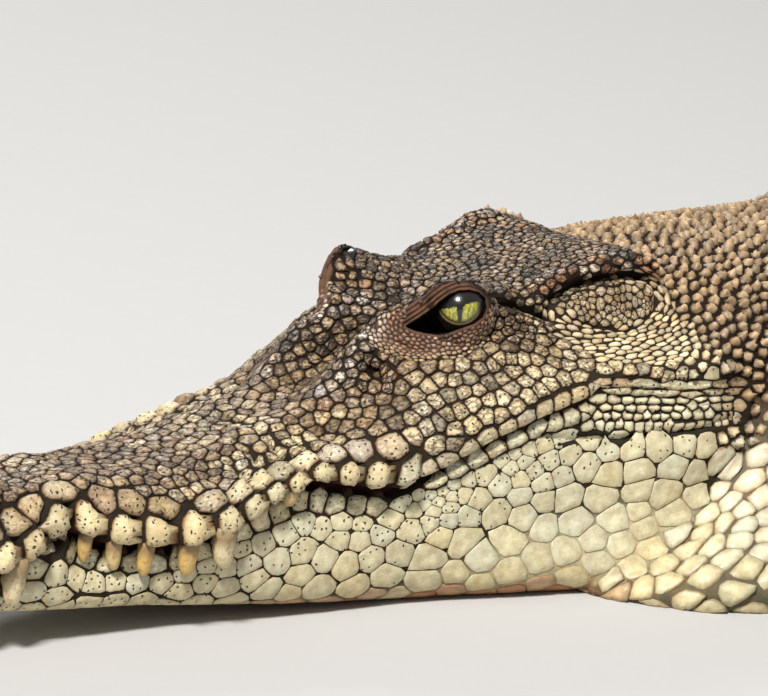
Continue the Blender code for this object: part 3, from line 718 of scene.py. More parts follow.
def scale_plan(points, normals):
    """Which kind of scale grows at each point (-1 for none), its length, breadth and lie."""
    q, side = left_half(points)
    x, a, z = head_lengths(q)
    s, o, h = along_body(points)
    kind = np.full(len(points), kind_index("flank")[0])
    scale = np.ones(len(points))
    lie = stacked(np.cos(h), np.sin(h), np.zeros(len(h)))

    def lay(where, name, size=1.0):
        """Plans one kind of scale at a share of its usual size; no name leaves the place free."""
        kind[where] = KIND_NAMES.index(name) if name else -1
        scale[where] = (size * np.ones(len(points)))[where]

    lip = curve(LIP_HEIGHT, x)
    width = curve(BODY_HALF_WIDTH, s)
    # limbs and feet
    limb = (np.abs(o) > width * 1.04 + .006) & (s > .80) & (s < 1.96)
    lay(limb, "limb")
    lay(limb & (points[:, 2] < .045), "limb", .8)
    lay((np.abs(o) > .31) & (s > .78) & (s < .95), "foot")
    lay((np.abs(o) > .38) & (s > 1.65) & (s < 1.92) & (points[:, 2] < .05), "foot")
    # neck
    neck = x > 1.0
    lay(neck & (s < .92) & ~limb, "neck", 1 + .35 * ramp(.64, .9, s))
    low = neck & (s < .95) & (points[:, 2] < .095 + .05 * ramp(.60, .75, s)) & ~limb
    lay(low, "throat", 1 + .25 * ramp(.6, .8, s))
    under = (normals[:, 2] < -.6) & (s > .3)
    lay(under & ~limb & (s > .60), "belly")
    # head
    head = x < 1.055
    upper = head & (z > lip)
    lay(upper, "snout", 1 + .15 * waves(points, .08, 5))
    lay(upper & (z < lip + .085 + .02 * ramp(.3, .6, x)) & (x < .62), "face", .88)
    lay(upper & (x > .56) & (a > .10) & (z < .30), "face", 1 - .12 * ramp(.8, 1.0, x))
    lay(upper & (x > .80) & (a < .135) & (z > .30), "table")
    lay(upper & (x > 1.0) & (a > .09), "neck", .82)
    lay(upper & (x > .95) & (z > .285) & (a > .15), "neck", .72)
    jaw = head & (z <= lip)
    lay(jaw, "jaw", .56 + .52 * ramp(.02, .12, lip - z) + .14 * waves(points, .05, 6))
    lay(jaw & (x < .5), "jaw", .60 + .30 * ramp(.02, .07, lip - z))
    lay(jaw & (throat_side(x, z) > 0) & (a > .12), "throat", .50 + .55 * (1 - ramp(.03, .18, z)))
    # stretch folds are laid in rows
    folds = (x > CORNER - .01) & (x < 1.10) & (a > .17) & (z < fold_row(0, x) + .002)
    lay(folds & (z > fold_row(FOLD_ROWS, x)), None)
    far, _ = to_path(stacked(x, a, z), JAW_FOLD)
    lay(far < .003, "bare")
    # lips are laid in rows
    rows = head & (z > lip - .018) & (z < lip + .048) & (x < .62)
    lay(rows & (a > curve(LIP_HALF_WIDTH, x) - .034), None)
    lay(head & (z < lip + .004) & (z > lip - .018) & (x >= .62) & (x < CORNER), None)
    lay(head & (np.abs(z - lip + .003) < .010) & (x < .61), "bare")
    pit = np.linalg.norm(stacked(x, a, z) - np.array(CHEEK_PITS[0][0]), axis=1)
    lay(head & (pit < .009), "bare", .7)
    # ear
    flat = stacked(x, z)
    outer = a > .09
    far = beyond(flat, EAR_FLAP)
    rings = outer & (far < EAR_RINGS) & (x > .86) & (z < .372) & ((z < .335) | (x > .97))
    lay(rings, "ear_rim")
    lay(outer & (far < -.004), "ear", .85 + .35 * waves(points, .02, 8))
    turn = unit(stacked(-(z - .332) / .03 ** 2, np.zeros(len(x)), (x - .955) / .085 ** 2))
    lie[rings] = turn[rings]
    for path in (EAR_SLIT, EAR_ROOF):
        lay(outer & (to_path(flat, path)[0] < .005), "bare", .7)
    # lids
    u, v, w = eye_frame(q)
    far, lids = on_lids(q, normals, side)
    gap = off_opening(u, v)
    upper_lid = v - np.interp(u, *OPENING_AXIS) > 0
    lay(lids, "lid", 1.15)
    lay(lids & upper_lid & (u > -.034) & (gap < .0135), "bare", .45)
    inner = (gap < .0020) & (far < 1.1) & (w > -.022) & (q[:, 1] < -.03 * HEAD)
    lay(inner, "bare", .45)
    # lie of the lid scales: around the opening
    ring = unit(stacked(v - .002, -(u + .008) * .45))
    around = ring[:, :1] * EYE_AXES[0] + ring[:, 1:] * EYE_AXES[1]
    around[:, 1] *= -side
    lie[lids] = around[lids]
    throat = kind == kind_index("throat")[0]
    turn = stacked(np.full(len(side), .75), side * .25, np.full(len(side), .55))
    lie[throat] = turn[throat]
    lie = unit(lie - normals * (lie * normals).sum(1, keepdims=True))
    usual = np.array([usual_length(name) for name in KIND_NAMES])[kind]
    narrow = np.array([KINDS[name].narrow for name in KIND_NAMES])[kind]
    return kind, usual * scale, usual * narrow * scale, lie


# ---------------------------------------------------------------- roots of the scales
class Skin:
    """The finished skin's mesh with what the scales need of it."""

    def __init__(self, mesh):
        self.mesh = mesh
        mesh.calc_loop_triangles()
        tris = np.empty(len(mesh.loop_triangles) * 3, np.int32)
        mesh.loop_triangles.foreach_get("vertices", tris)
        self.tris = tris.reshape(-1, 3)
        self.co, self.no = points_of(mesh), normals_of(mesh)
        self.face_no = unit(self.no[self.tris].sum(1))
        self.tree = BVHTree.FromPolygons(self.co.tolist(), self.tris.tolist(), all_triangles=True)

    def nearest(self, points):
        """Nearest places on the skin and the smooth normals there."""
        place, index = np.empty_like(points), np.empty(len(points), np.int64)
        find = self.tree.find_nearest
        for i, p in enumerate(points.tolist()):
            hit = find(p)
            place[i] = hit[0]
            index[i] = hit[2]
        return place, self.face_no[index]

    def cast(self, start, way):
        """Where rays first meet the skin; rows of nan where they miss."""
        place, index = np.full(start.shape, np.nan), np.zeros(len(start), np.int64)
        for i, (p, d) in enumerate(zip(start.tolist(), way.tolist())):
            hit = self.tree.ray_cast(p, d)
            if hit[0] is not None:
                place[i], index[i] = hit[0], hit[2]
        return place, self.face_no[index]


class Seeds:
    """Roots of scales: place, normal, lie, length, breadth and kind."""

    FIELDS = ("p", "n", "t", "length", "breadth", "kind")

    def __init__(self, p, n, t, length, breadth, kind):
        self.p, self.n = p, n
        self.t = unit(t - n * (t * n).sum(1, keepdims=True))
        self.length, self.breadth, self.kind = length, breadth, kind

    @staticmethod
    def joined(parts):
        """All the parts' seeds, in order."""
        return Seeds(*[np.concatenate([getattr(s, f) for s in parts]) for f in Seeds.FIELDS])

    def chosen(self, where):
        """The seeds at an index or mask."""
        return Seeds(*[getattr(self, f)[where] for f in Seeds.FIELDS])


def seeds_of(skin, places, name, length, breadth, lie, way=None):
    """Seeds of one kind at rays' ends or at the skin's nearest places."""
    if way is None:
        p, n = skin.nearest(places)
    else:
        p, n = skin.cast(places, way)
    ok = ~np.isnan(p[:, 0])
    count = len(p)
    length, breadth = np.broadcast_to(length, count), np.broadcast_to(breadth, count)
    lie = np.broadcast_to(lie, (count, 3))
    kind = np.full(count, KIND_NAMES.index(name))
    return Seeds(p[ok], n[ok], lie[ok], length[ok], breadth[ok], kind[ok])


def head_place(x, a, z, side):
    """World place of a point in head lengths."""
    return np.array([SNOUT_X + x * HEAD, MIDLINE_Y + side * a * HEAD, z * HEAD])


# Kind, rise over the mouth in head lengths, length and breadth of the scales round the snout's tip.
FRONT_LIPS = (("lip", .020, .0200, .0220), ("lip_row", .0500, .0180, .0160),
              ("lower_lip", -.0200, .0150, .0130))
# Where those scales sit, behind the tip and aside.
FRONT_PLACES = ((-.004, .014), (.003, .038))
# Spacing of the lower lip's scales and of the band to the mouth's corner, in head lengths.
LOWER_LIP_PITCH, BAND_PITCH = .0265, .026


def lip_seeds(skin):
    """Rows of scales that edge the mouth."""
    rng = np.random.default_rng(11)
    lobes = np.array(LOBES)
    rising = (curve(LIP_HEIGHT, lobes + .01) - curve(LIP_HEIGHT, lobes - .01)) / .02
    lies = stacked(np.ones(len(lobes)), np.zeros(len(lobes)), rising)
    width = np.gradient(lobes) * np.hypot(1, rising) * HEAD
    small = ramp(.25, .45, lobes)
    parts = []
    for side in (-1, 1):
        def row(kind, x, aside, rise, long, broad, lie):
            """Lays a row along the mouth, its places aside of the lips' edge and over their line."""
            place = [head_place(*at, side)
                     for at in zip(x, curve(LIP_HALF_WIDTH, x) + aside, curve(LIP_HEIGHT, x) + rise)]
            parts.append(seeds_of(skin, np.array(place), kind, long, broad, lie))

        row("lip", lobes, .01, .023 - .004 * small, width * 1.05, .0250 - .0035 * small, lies)
        for kind, rise, long, broad in FRONT_LIPS:
            at = [head_place(x, a, curve(LIP_HEIGHT, x) + rise, side) for x, a in FRONT_PLACES]
            parts.append(seeds_of(skin, np.array(at), kind, long, broad, (.3, side, 0)))
        mid = (lobes[:-1] + lobes[1:]) / 2 + rng.uniform(-.004, .004, len(lobes) - 1)
        row("lip_row", mid, -.006, .0535, .0205, .0175, lies[1:])
        low = np.arange(.02, .60, LOWER_LIP_PITCH)
        low = low + rng.uniform(-.003, .003, len(low))
        row("lower_lip", low, -curve(MOUTH_INSET, low) - .002, -.022, .0152, .0120, (1, 0, 0))
        rear = np.arange(.62, CORNER - .01, BAND_PITCH)
        row("band", rear + .01, 0, .010, .0150, .0088, (1, 0, .3))
        row("band", rear, .01, -.012, .0150, .0075, (1, 0, .3))
    return Seeds.joined(parts)


def fold_seeds(skin):
    """Rows of small oblong scales on the stretch folds."""
    rng = np.random.default_rng(12)
    parts = []
    for side in (-1, 1):
        for row in range(FOLD_ROWS):
            long, broad = FOLD_SIZES[row]
            x = CORNER - .004 * row + rng.uniform(0, .01)
            places = []
            while x < 1.09:
                places.append(head_place(x, .235, fold_row(row, x) + rng.uniform(-.0012, .0012), side))
                x += rng.uniform(.9, 1.3) * long / HEAD
            parts.append(seeds_of(skin, np.array(places), "fold" if row > 1 else "band", long, broad,
                                  (1, 0, -.08)))
    return Seeds.joined(parts)


# Distance behind the snout's tip, aside of the spine and share of the usual size of the nape's shields.
NAPE = ((.855, .028, 1.0), (.912, .029, 1.0), (.886, .084, .72))
# Start, number and spacing of the back's cross rows.
BACK_START, BACK_ROWS, BACK_PITCH = .975, 16, .0615


def back_seeds(skin):
    """Nuchal shields and the keeled rows of the back."""
    parts = []

    def drop(kind, x, y, long, broad):
        """Lays a shield straight under a place."""
        at = np.array([[SNOUT_X + x, MIDLINE_Y + y, 1.0]])
        parts.append(seeds_of(skin, at, kind, long, broad, (1, 0, 0), way=np.array([[0, 0, -1.0]])))

    for s, o, size in NAPE:
        for side in (-1, 1):
            drop("nuchal", s, side * o, .052 * size, .048 * size)
    rng = np.random.default_rng(13)
    for row in range(BACK_ROWS):
        s = BACK_START + BACK_PITCH * row
        for side in (-1, 1):
            for j in range(4 if 2 < row < 13 else 3):
                o = (j + .5) * (.0500 - .0016 * j) * (1 - .12 * ramp(1.5, 1.96, s))
                jig = rng.uniform(-.003, .003, 2)
                size = 1 - .09 * j
                drop("scute", s + jig[0], side * o + jig[1], .055 * size, .046 * size)
    return Seeds.joined(parts)


def spine_at(s):
    """Place on the floor under the spine, and heading."""
    steps, x, y, heading = SPINE
    return np.interp(s, steps, x), np.interp(s, steps, y), np.interp(s, steps, heading)


# Start, end and spacing of the rings of scales round the tail.
WHORL_START, WHORL_END, WHORL_PITCH = 1.99, 3.97, .0606


def tail_seeds(skin):
    """Rings of oblong scales round the tail."""
    parts = []
    count = int((WHORL_END - WHORL_START) / WHORL_PITCH)
    for ring in range(count):
        s = WHORL_START + (ring + .5) * WHORL_PITCH
        x, y, h = spine_at(s)
        tall, wide = curve(BODY_HEIGHT, s), curve(BODY_HALF_WIDTH, s)
        middle = .42 * tall
        girth = math.pi * (wide + tall / 2)
        around = max(8, int(girth / (.029 - .004 * ramp(2.8, 3.9, s))))
        angle = (np.arange(around) + .5) / around * math.tau
        out = stacked(-np.sin(h) * np.sin(angle), np.cos(h) * np.sin(angle), np.cos(angle))
        start = np.tile((x, y, middle), (around, 1))
        lie = (math.cos(h), math.sin(h), 0)
        parts.append(seeds_of(skin, start, "whorl", WHORL_PITCH, girth / around, lie, way=out))
    return Seeds.joined(parts)


# Start, number and spacing of the belly's cross rows, and the width of one plate.
BELLY_START, BELLY_ROWS, BELLY_PITCH, PLATE_WIDTH = .66, 46, .0285, .0245


def belly_seeds(skin):
    """Cross rows of oblong plates under the trunk."""
    parts = []
    for row in range(BELLY_ROWS):
        s = BELLY_START + BELLY_PITCH * row
        x, y, _ = spine_at(s)
        wide = curve(BODY_HALF_WIDTH, s) * .80
        count = int(2 * wide / PLATE_WIDTH)
        o = (np.arange(count) - (count - 1) / 2) * PLATE_WIDTH
        at = stacked(np.full(count, x), y + o, np.full(count, -1.0))
        parts.append(seeds_of(skin, at, "belly", BELLY_PITCH, PLATE_WIDTH, (1, 0, 0),
                              way=np.tile((0, 0, 1.0), (count, 1))))
    return Seeds.joined(parts)


# Candidates thrown for each scale that fits, and the shares of a scale's size that keep them apart:
# from the laid rows, and from each other.
THROWN, OFF_ROWS, OFF_OTHERS = 5.0, .98, .80
# Normals whose product is less than this lie on opposite sides of the body.
SAME_SIDE = -.2


def planted(points):
    """A search tree of the points."""
    tree = kdtree.KDTree(len(points))
    for i, p in enumerate(points.tolist()):
        tree.insert(p, i)
    tree.balance()
    return tree


def strewn_seeds(skin, laid):
    """Seeds thrown over what the laid rows leave bare, none too near another."""
    rng = np.random.default_rng(7)
    corner = skin.co[skin.tris]
    centre = corner.mean(1)
    area = np.linalg.norm(np.cross(corner[:, 1] - corner[:, 0], corner[:, 2] - corner[:, 0]), axis=1) / 2
    kind, length, breadth, _ = scale_plan(centre, skin.face_no)
    want = np.where(kind < 0, 0, area / (length * breadth)) * THROWN
    count = int(want.sum())
    face = rng.choice(len(want), count, p=want / want.sum())
    u, v = rng.random(count), rng.random(count)
    flip = u + v > 1
    u[flip], v[flip] = 1 - u[flip], 1 - v[flip]
    c = corner[face]
    p = c[:, 0] + (c[:, 1] - c[:, 0]) * u[:, None] + (c[:, 2] - c[:, 0]) * v[:, None]
    n = skin.face_no[face]
    kind, length, breadth, lie = scale_plan(p, n)
    ok = kind >= 0
    p, n, kind, length, breadth, lie = p[ok], n[ok], kind[ok], length[ok], breadth[ok], lie[ok]
    tree = planted(p)
    alive = np.ones(len(p), bool)
    across = np.cross(n, lie)

    def clear(place, normal, way, side, long, broad, share):
        """Drops the candidates too near a root."""
        found = tree.find_range(place, share * 1.25 * max(long, broad))
        if len(found) < 2:
            return
        near = np.array([f[1] for f in found])
        near = near[alive[near]]
        d = p[near] - place
        long2, broad2 = (long + length[near]) / 2, (broad + breadth[near]) / 2
        far = np.hypot(d @ way / long2, d @ side / broad2)
        facing = n[near] @ normal > SAME_SIDE
        alive[near[(far < share) & facing]] = False

    for i in range(len(laid.p)):
        side = np.cross(laid.n[i], laid.t[i])
        clear(laid.p[i], laid.n[i], laid.t[i], side, laid.length[i], laid.breadth[i], OFF_ROWS)
    kept = []
    for i in range(len(p)):
        if alive[i]:
            kept.append(i)
            clear(p[i], n[i], lie[i], across[i], length[i], breadth[i], OFF_OTHERS)
    kept = np.array(kept)
    return Seeds(p[kept], n[kept], lie[kept], length[kept], breadth[kept], kind[kept])


# How many of the nearest roots bound each scale.
NEIGHBOURS = 18


def cell_edges(seeds, every, near, sides, crisp, reach, start):
    """How far each scale reaches in each direction, in its own lengths and breadths."""
    d = every.p[near] - seeds.p[:, None]
    across = np.cross(seeds.n, seeds.t)
    along = (d * seeds.t[:, None]).sum(-1)
    beside = (d * across[:, None]).sum(-1)
    flat, full = np.hypot(along, beside), np.linalg.norm(d, axis=-1)
    more = np.clip(full / np.maximum(flat, 1e-9), 1, 2)
    along, beside = along * more, beside * more
    m1 = .5 * (1 / seeds.length[:, None] ** 2 + 1 / every.length[near] ** 2)
    m2 = .5 * (1 / seeds.breadth[:, None] ** 2 + 1 / every.breadth[near] ** 2)
    own = np.sqrt(seeds.length * seeds.breadth)[:, None]
    other = np.sqrt(every.length * every.breadth)[near]
    size = (along ** 2 * m1 + beside ** 2 * m2) * own / (own + other)
    facing = (every.n[near] * seeds.n[:, None]).sum(-1)
    usable = (full > 1e-7) & (facing > SAME_SIDE)
    angle = turns(sides)[None] + start[:, None]
    ux, uy = np.cos(angle) * seeds.length[:, None], np.sin(angle) * seeds.breadth[:, None]
    top = ux[:, :, None] * (along * m1)[:, None] + uy[:, :, None] * (beside * m2)[:, None]
    with np.errstate(divide="ignore", invalid="ignore"):
        inverse = np.where(usable[:, None], top / size[:, None], 0)
    inverse = np.maximum(inverse, 0)
    total = (inverse ** crisp).sum(-1) + (1 / reach) ** crisp
    return total ** (-1 / crisp), ux, uy, angle


def near_each(seeds):
    """The nearest other roots of each root."""
    tree = planted(seeds.p)
    return np.array([[f[1] for f in tree.find_n(p, NEIGHBOURS)] for p in seeds.p.tolist()])


def settled(skin, every, near, fixed, rounds):
    """Roots moved to the middle of their cells; the first fixed ones stay."""
    for _ in range(rounds):
        r, ux, uy, _ = cell_edges(every, every, near, 10, 16, .9, np.zeros(len(every.p)))
        x, y = ux * r, uy * r
        x2, y2 = np.roll(x, -1, 1), np.roll(y, -1, 1)
        part = x * y2 - x2 * y
        area = 3 * np.maximum(part.sum(1), 1e-12)
        cx, cy = ((x + x2) * part).sum(1) / area, ((y + y2) * part).sum(1) / area
        across = np.cross(every.n, every.t)
        move = every.t * cx[:, None] + across * cy[:, None]
        stay = (np.arange(len(move)) < fixed) | (every.kind == kind_index("bare")[0])
        move[stay] = 0
        p, n = skin.nearest(every.p + move)
        every = Seeds(p, n, every.t, every.length, every.breadth, every.kind)
    return every


# Size of one scale's patch on the OFBake map, and the length of fin that fills one.
PATCH = .003
CREST_REACH = .12
# Least height of a scale's points over the floor.
FLOOR_GAP = .0003


# Least and most share of its usual gap between a scale and the next, and how ragged its edge is.
GAP_SHARES, RAGGED = (.6, 1.5), .025


def outlines(kind, seeds, every, near, size, rng):
    """The scales' rims along and across their lie, drawn back from the next, and their patches' reach."""
    count = len(seeds.p)
    start = rng.uniform(0, math.tau / kind.sides, count) * (kind.keel == 0)
    r, ux, uy, angle = cell_edges(seeds, every, near, kind.sides, kind.crisp, kind.reach, start)
    r *= 1 + rng.uniform(-RAGGED, RAGGED, r.shape)
    real = np.hypot(ux, uy)
    gap = kind.gap * size * rng.uniform(*GAP_SHARES, (count, 1))
    r = np.maximum(r - gap / 2 / real, .12) * (1 + kind.lap * np.maximum(np.cos(angle), 0))
    return ux * r, uy * r, np.maximum(real.max(1) * .6, 1e-6)[:, None]


def domes(starts, count, sides):
    """Faces of scales side by side, from the first point of each ring on; the last ring is their tips."""
    i = np.arange(count)[:, None] * sides
    j = np.arange(sides)[None]
    nxt = (j + 1) % sides
    faces = [np.stack((a + i + j, a + i + nxt, b + i + nxt, b + i + j), -1).reshape(-1, 4)
             for a, b in zip(starts[:-2], starts[1:-1])]
    a, tip = starts[-2], starts[-1] + np.arange(count)[:, None] + 0 * j
    return faces + [np.stack((a + i + j, a + i + nxt, tip), -1).reshape(-1, 3)]


def plates(name, skin, every, near, index, paint, material, unwrap):
    """One joined mesh of the scales whose seeds are at index."""
    points, faces, tints, lays, marks, uvs = [], [], [], [], [], []
    base = 0
    rng = np.random.default_rng(len(index))
    kinds = every.kind[index]
    root_uv = unwrap(every.p[index])
    for k in np.unique(kinds):
        kind = KINDS[KIND_NAMES[k]]
        usual = usual_length(KIND_NAMES[k]) * kind.narrow
        here = index[kinds == k]
        uv0 = root_uv[kinds == k]
        seeds = every.chosen(here)
        count, sides = len(here), kind.sides
        size = np.minimum(1, seeds.breadth / usual)[:, None]
        long, broad, far = outlines(kind, seeds, every, near[here], size, rng)
        across = np.cross(seeds.n, seeds.t)
        tone = rng.uniform(0, 1, count)
        jaw_depth = curve(LIP_HEIGHT, (seeds.p[:, 0] - SNOUT_X) / HEAD) - seeds.p[:, 2] / HEAD
        pored = 1 - ramp(.06, .11, jaw_depth)
        rings = kind.profile + ((0.0, 1.0),)
        starts = []
        for share, height in rings:
            n_side = 1 if share == 0 else sides
            # the last ring is the single point on top
            x, y = (long * share, broad * share) if share else (np.zeros((count, 1)),) * 2
            flat = seeds.p[:, None] + seeds.t[:, None] * x[..., None] + across[:, None] * y[..., None]
            place, normal = skin.nearest(flat.reshape(-1, 3))
            normal = unit(normal + np.repeat(seeds.n, n_side, 0))
            h = kind.height * size * (height + kind.lump * rng.normal(size=x.shape) * (height > 0))
            if height > 0:
                h = h + kind.tilt * x * share
                crest = bump(y, 0, .15 * seeds.breadth[:, None]) * (share < .95)
                h = h + kind.keel * size * crest * np.clip(.55 + x / seeds.length[:, None], 0, 1)
            starts.append(base)
            base += len(place)
            points.append(place + normal * h.reshape(-1)[:, None])
            tone_here = np.repeat(tone, n_side)
            lays.append(stacked(x.ravel(), y.ravel(), tone_here))
            marks.append(stacked(np.full(x.size, kind.crack), kind.dots * np.repeat(pored, n_side),
                                 np.full(x.size, share) * (.8 + .2 * kind.rim), tone_here))
            uvs.append(np.stack((uv0[:, :1] + x / far * PATCH / 2, uv0[:, 1:] + y / far * PATCH / 2), -1)
                       .reshape(-1, 2))
        shade = 1 + kind.shade * (rng.normal(size=count)).clip(-1.6, 1.6)
        tint = paint(seeds.p, seeds.n, seeds.kind, rng) * shade[:, None]
        # Each ring's tint is lighter towards the middle and darker towards the rim: painted light on the
        # dome, painted shade and some dirt at its foot.
        for share, _ in rings:
            worn = 1 + kind.fade * (.45 - 1.25 * share ** 2)
            tints.append(np.repeat(tint * worn, sides if share else 1, 0))
        faces += domes(starts, count, sides)
    points = np.concatenate(points)
    points[:, 2] = np.maximum(points[:, 2], FLOOR_GAP)
    mesh = mesh_from(name, points, faces)
    dress(mesh, *map(np.concatenate, (tints, lays, marks, uvs)))
    return mesh_object(name, mesh, material)


def dress(mesh, tint, lay, marks, uv):
    """Adds what the scales' material reads, and the OFBake map of the scales' patches."""
    attribute(mesh, "tint", "FLOAT_COLOR", tint)
    attribute(mesh, "lay", "FLOAT_VECTOR", lay)
    attribute(mesh, "marks", "FLOAT_COLOR", marks)
    layer = mesh.uv_layers.new(name="OFBake")
    loops = np.empty(len(mesh.loops), np.int32)
    mesh.loops.foreach_get("vertex_index", loops)
    layer.data.foreach_set("uv", uv[loops].astype(np.float32).ravel())


def mesh_from(name, points, faces):
    """A mesh from an array of points and arrays of three- and four-cornered faces."""
    mesh = bpy.data.meshes.new(name)
    mesh.vertices.add(len(points))
    put_points(mesh, points)
    corners = np.concatenate([f.ravel() for f in faces]).astype(np.int32)
    totals = np.concatenate([np.full(len(f), f.shape[1]) for f in faces]).astype(np.int32)
    starts = np.concatenate(([0], np.cumsum(totals)[:-1])).astype(np.int32)
    mesh.loops.add(len(corners))
    mesh.loops.foreach_set("vertex_index", corners)
    mesh.polygons.add(len(totals))
    mesh.polygons.foreach_set("loop_start", starts)
    mesh.polygons.foreach_set("loop_total", totals)
    mesh.update(calc_edges=True)
    mesh.validate()
    return mesh


def attribute(mesh, name, sort, values):
    """Adds a point attribute; three-part colours get an alpha of one."""
    coloured = sort == "FLOAT_COLOR"
    if coloured and values.shape[1] == 3:
        values = np.concatenate((values, np.ones((len(values), 1))), 1)
    mesh.attributes.new(name, sort, "POINT").data.foreach_set(
        "color" if coloured else "vector", np.ascontiguousarray(values, np.float32).ravel())


# ---------------------------------------------------------------- colours
def colour(name):
    """Colour that the settings give under a name."""
    return np.array(getattr(bpy.context.scene.crocodile_colours, name))


def all_over(name, points):
    """One of the colours for every point."""
    return np.tile(colour(name), (len(points), 1))


def mixed(a, b, share):
    """Colours a and b mixed by rows."""
    share = np.asarray(share)[:, None]
    return a * (1 - share) + b * share


# Pale streak from the brow down the snout, worn horn with a painted glint, in head lengths behind the tip
# and aside.
BROW_WEAR_AND_GLINT = ((.76, .015), (.708, .026), (.675, .037), (.63, .048), (.593, .056), (.56, .050))


def hide_colour(points, normals):
    """The animal's markings at each point, for skin and scales alike, with some painted light: a glint on
    the brow, a lift on the ear flap and a reflection along the jaw's lowest edge.
    """
    q, side = left_half(points)
    x, a, z = head_lengths(q)
    s, _, _ = along_body(points)
    level = points[:, 2] / curve(BODY_HEIGHT, s)
    blotch = waves(points, .11, 21)
    fine = waves(points, .028, 22)
    base = all_over("back", points)
    down = 1 - ramp(.25, .68, level + .06 * blotch)
    base = mixed(base, colour("flank"), 1 - ramp(.55, .95, level + .06 * blotch))
    band = ramp(.1, .75, np.sin(s * math.tau / .235 + .5 * blotch) * .6 + .5 * blotch)
    band = band * ramp(.2, .5, level) * ramp(.9, 1.3, s)
    base = mixed(base, colour("band"), band * (.5 + .35 * ramp(1.9, 2.3, s)))
    under = np.maximum(down * ramp(.0, .25, .38 - level), ramp(.3, .75, -normals[:, 2]))
    base = mixed(base, colour("belly"), under)
    # neck
    neck = 1 - ramp(.74, 1.15, s + .05 * blotch)
    tan = mixed(all_over("neck", points), colour("snout"), ramp(-.2, .8, blotch) * .5)
    tan = mixed(tan, colour("throat"), 1 - ramp(.35, .60, level + .04 * blotch))
    base = mixed(base, tan, neck)
    # head
    lip = curve(LIP_HEIGHT, x)
    head = 1 - ramp(1.02, 1.09, x)
    upper = mixed(all_over("face", points), colour("snout"), ramp(.01, .075, z - lip + .02 * fine))
    upper = mixed(upper, colour("lip"), (1 - ramp(.01, .05, z - lip)) * .9)
    cheek = ramp(.56, .66, x) * (1 - ramp(.26, .31, z)) * ramp(.1, .14, a)
    upper = mixed(upper, colour("face"), cheek * .85)
    jaw = mixed(all_over("jaw", points), colour("jaw_low"), 1 - ramp(.02, .09, z + .01 * fine))
    # red-brown band along the jaw's lowest edge by the floor: partly rust stain, partly a painted
    # reflection of red-brown ground
    stain = (1 - ramp(.002, .026, z + .005 * fine)) * .75 * (1 - ramp(.84, .94, x))
    jaw = mixed(jaw, colour("rust"), stain)
    base = mixed(base, mixed(jaw, upper, ramp(-.004, .004, z - lip)), head)
    # lids
    far, lids = on_lids(q, normals, side)
    base = mixed(base, colour("lid_grain"), (1 - ramp(.88, 1.08, far)) * lids * .9)
    # painted light on the ear flap, and the worn ridge over the ear
    outer = ramp(.08, .1, a)
    flat = stacked(x, z)
    far, _ = to_path(flat, EAR_ROOF)
    above = z > curve(EAR_ROOF, x)
    # painted light: the ear flap and its rings are mixed towards the pale face colour to lift the shade
    # under the ear's roof
    base = mixed(base, colour("face"), outer * .4 * (1 - ramp(.02, .04, beyond(flat, EAR_FLAP))))
    ridge = outer * above * bump(far, .012, .014) * ramp(.82, .86, x) * (1 - ramp(1.02, 1.05, x))
    worn = mixed(all_over("rust", points), colour("white"), ramp(-.3, .5, fine))
    base = mixed(base, worn, ridge * .7)
    # pale streak down the brow: worn horn and a painted glint
    streak = .9 * hollow(stacked(x, a), BROW_WEAR_AND_GLINT, .011) * ramp(-1.2, .1, fine) * ramp(.18, .2, z)
    return mixed(base, colour("white"), streak)


def scale_paint(points, normals, kinds, rng):
    """Colour of each scale: the markings, with rare rusty, pale or dark ones."""
    base = hide_colour(points, normals)
    count = len(points)
    x = (points[:, 0] - SNOUT_X) / HEAD
    on_head = (x < 1.06).astype(float)
    pick = rng.random(count)
    jaw = np.isin(kinds, kind_index("jaw", "lower_lip", "throat", "lip", "belly"))
    rust = (pick < .06) * on_head * (~jaw)
    base = mixed(base, base * .65 + colour("rust") * .35, rust * rng.random(count))
    pale = (pick > .90) * on_head * (~jaw)
    base = mixed(base, base * .6 + colour("white") * .4, pale * rng.random(count))
    dark = waves(points, .03, 31)
    top = np.isin(kinds, kind_index("snout", "table"))
    base = mixed(base, base * .30, top * ramp(.15, .8, dark) * .85)
    face = np.isin(kinds, kind_index("face", "lip_row"))
    base = mixed(base, base * .42, face * ramp(.35, .9, waves(points, .026, 34)) * .8)
    warm = rng.normal(size=(count, 1)) * .022
    return base * np.concatenate((1 + warm, np.ones((count, 1)), 1 - 2 * warm), 1)


def skin_paint(points, normals):
    """Colour of the skin between the scales: the markings deepened to a near-black brown, the skin's own
    dark with painted shade in the grooves.
    """
    base = hide_colour(points, normals)
    q, side = left_half(points)
    x, _, z = head_lengths(q)
    # painted shade: the grooves between scales are painted near black, over the skin's own dark brown
    dark = mixed(base * .05, colour("groove") * .8, np.full(len(points), .6))
    lip = curve(LIP_HEIGHT, x)
    behind = throat_side(x, z)
    low = (1 - ramp(1.0, 1.04, x)) * ramp(.11, .18, lip - z + .012 * waves(q, .03, 33)) * (behind < 0)
    dark = mixed(dark, base * .55, low)
    throat = (behind > 0) * ramp(-.02, .02, lip - z) * (1 - ramp(1.3, 1.4, x))
    dark = mixed(dark, base * .20, throat * .8)
    dark = mixed(dark, base * .26, .85 * ramp(1.25, 1.6, x))
    far, lids = on_lids(q, normals, side)
    lids = (1 - ramp(.86, 1.12, far)) * lids
    u, v, _ = eye_frame(q)
    gap = off_opening(u, v)
    worn = .5 - .5 * np.cos(math.tau * gap / LID_WRINKLE)
    dark = mixed(dark, mixed(all_over("lid", points), colour("lid_grain"), .30 * worn), lids)
    # painted shade: inside the eye's opening the lid skin is painted near black, over the dark membrane
    # there
    dark = mixed(dark, colour("mouth") * .3, lids * (gap < -.0003))
    # the gap between the lips is painted near black: the mouth's dark red skin, deepened with painted
    # shade
    slot = np.exp(-(((z - lip + .003) / .0075) ** 4)) * (x < .62)
    return mixed(dark, colour("mouth"), slot)


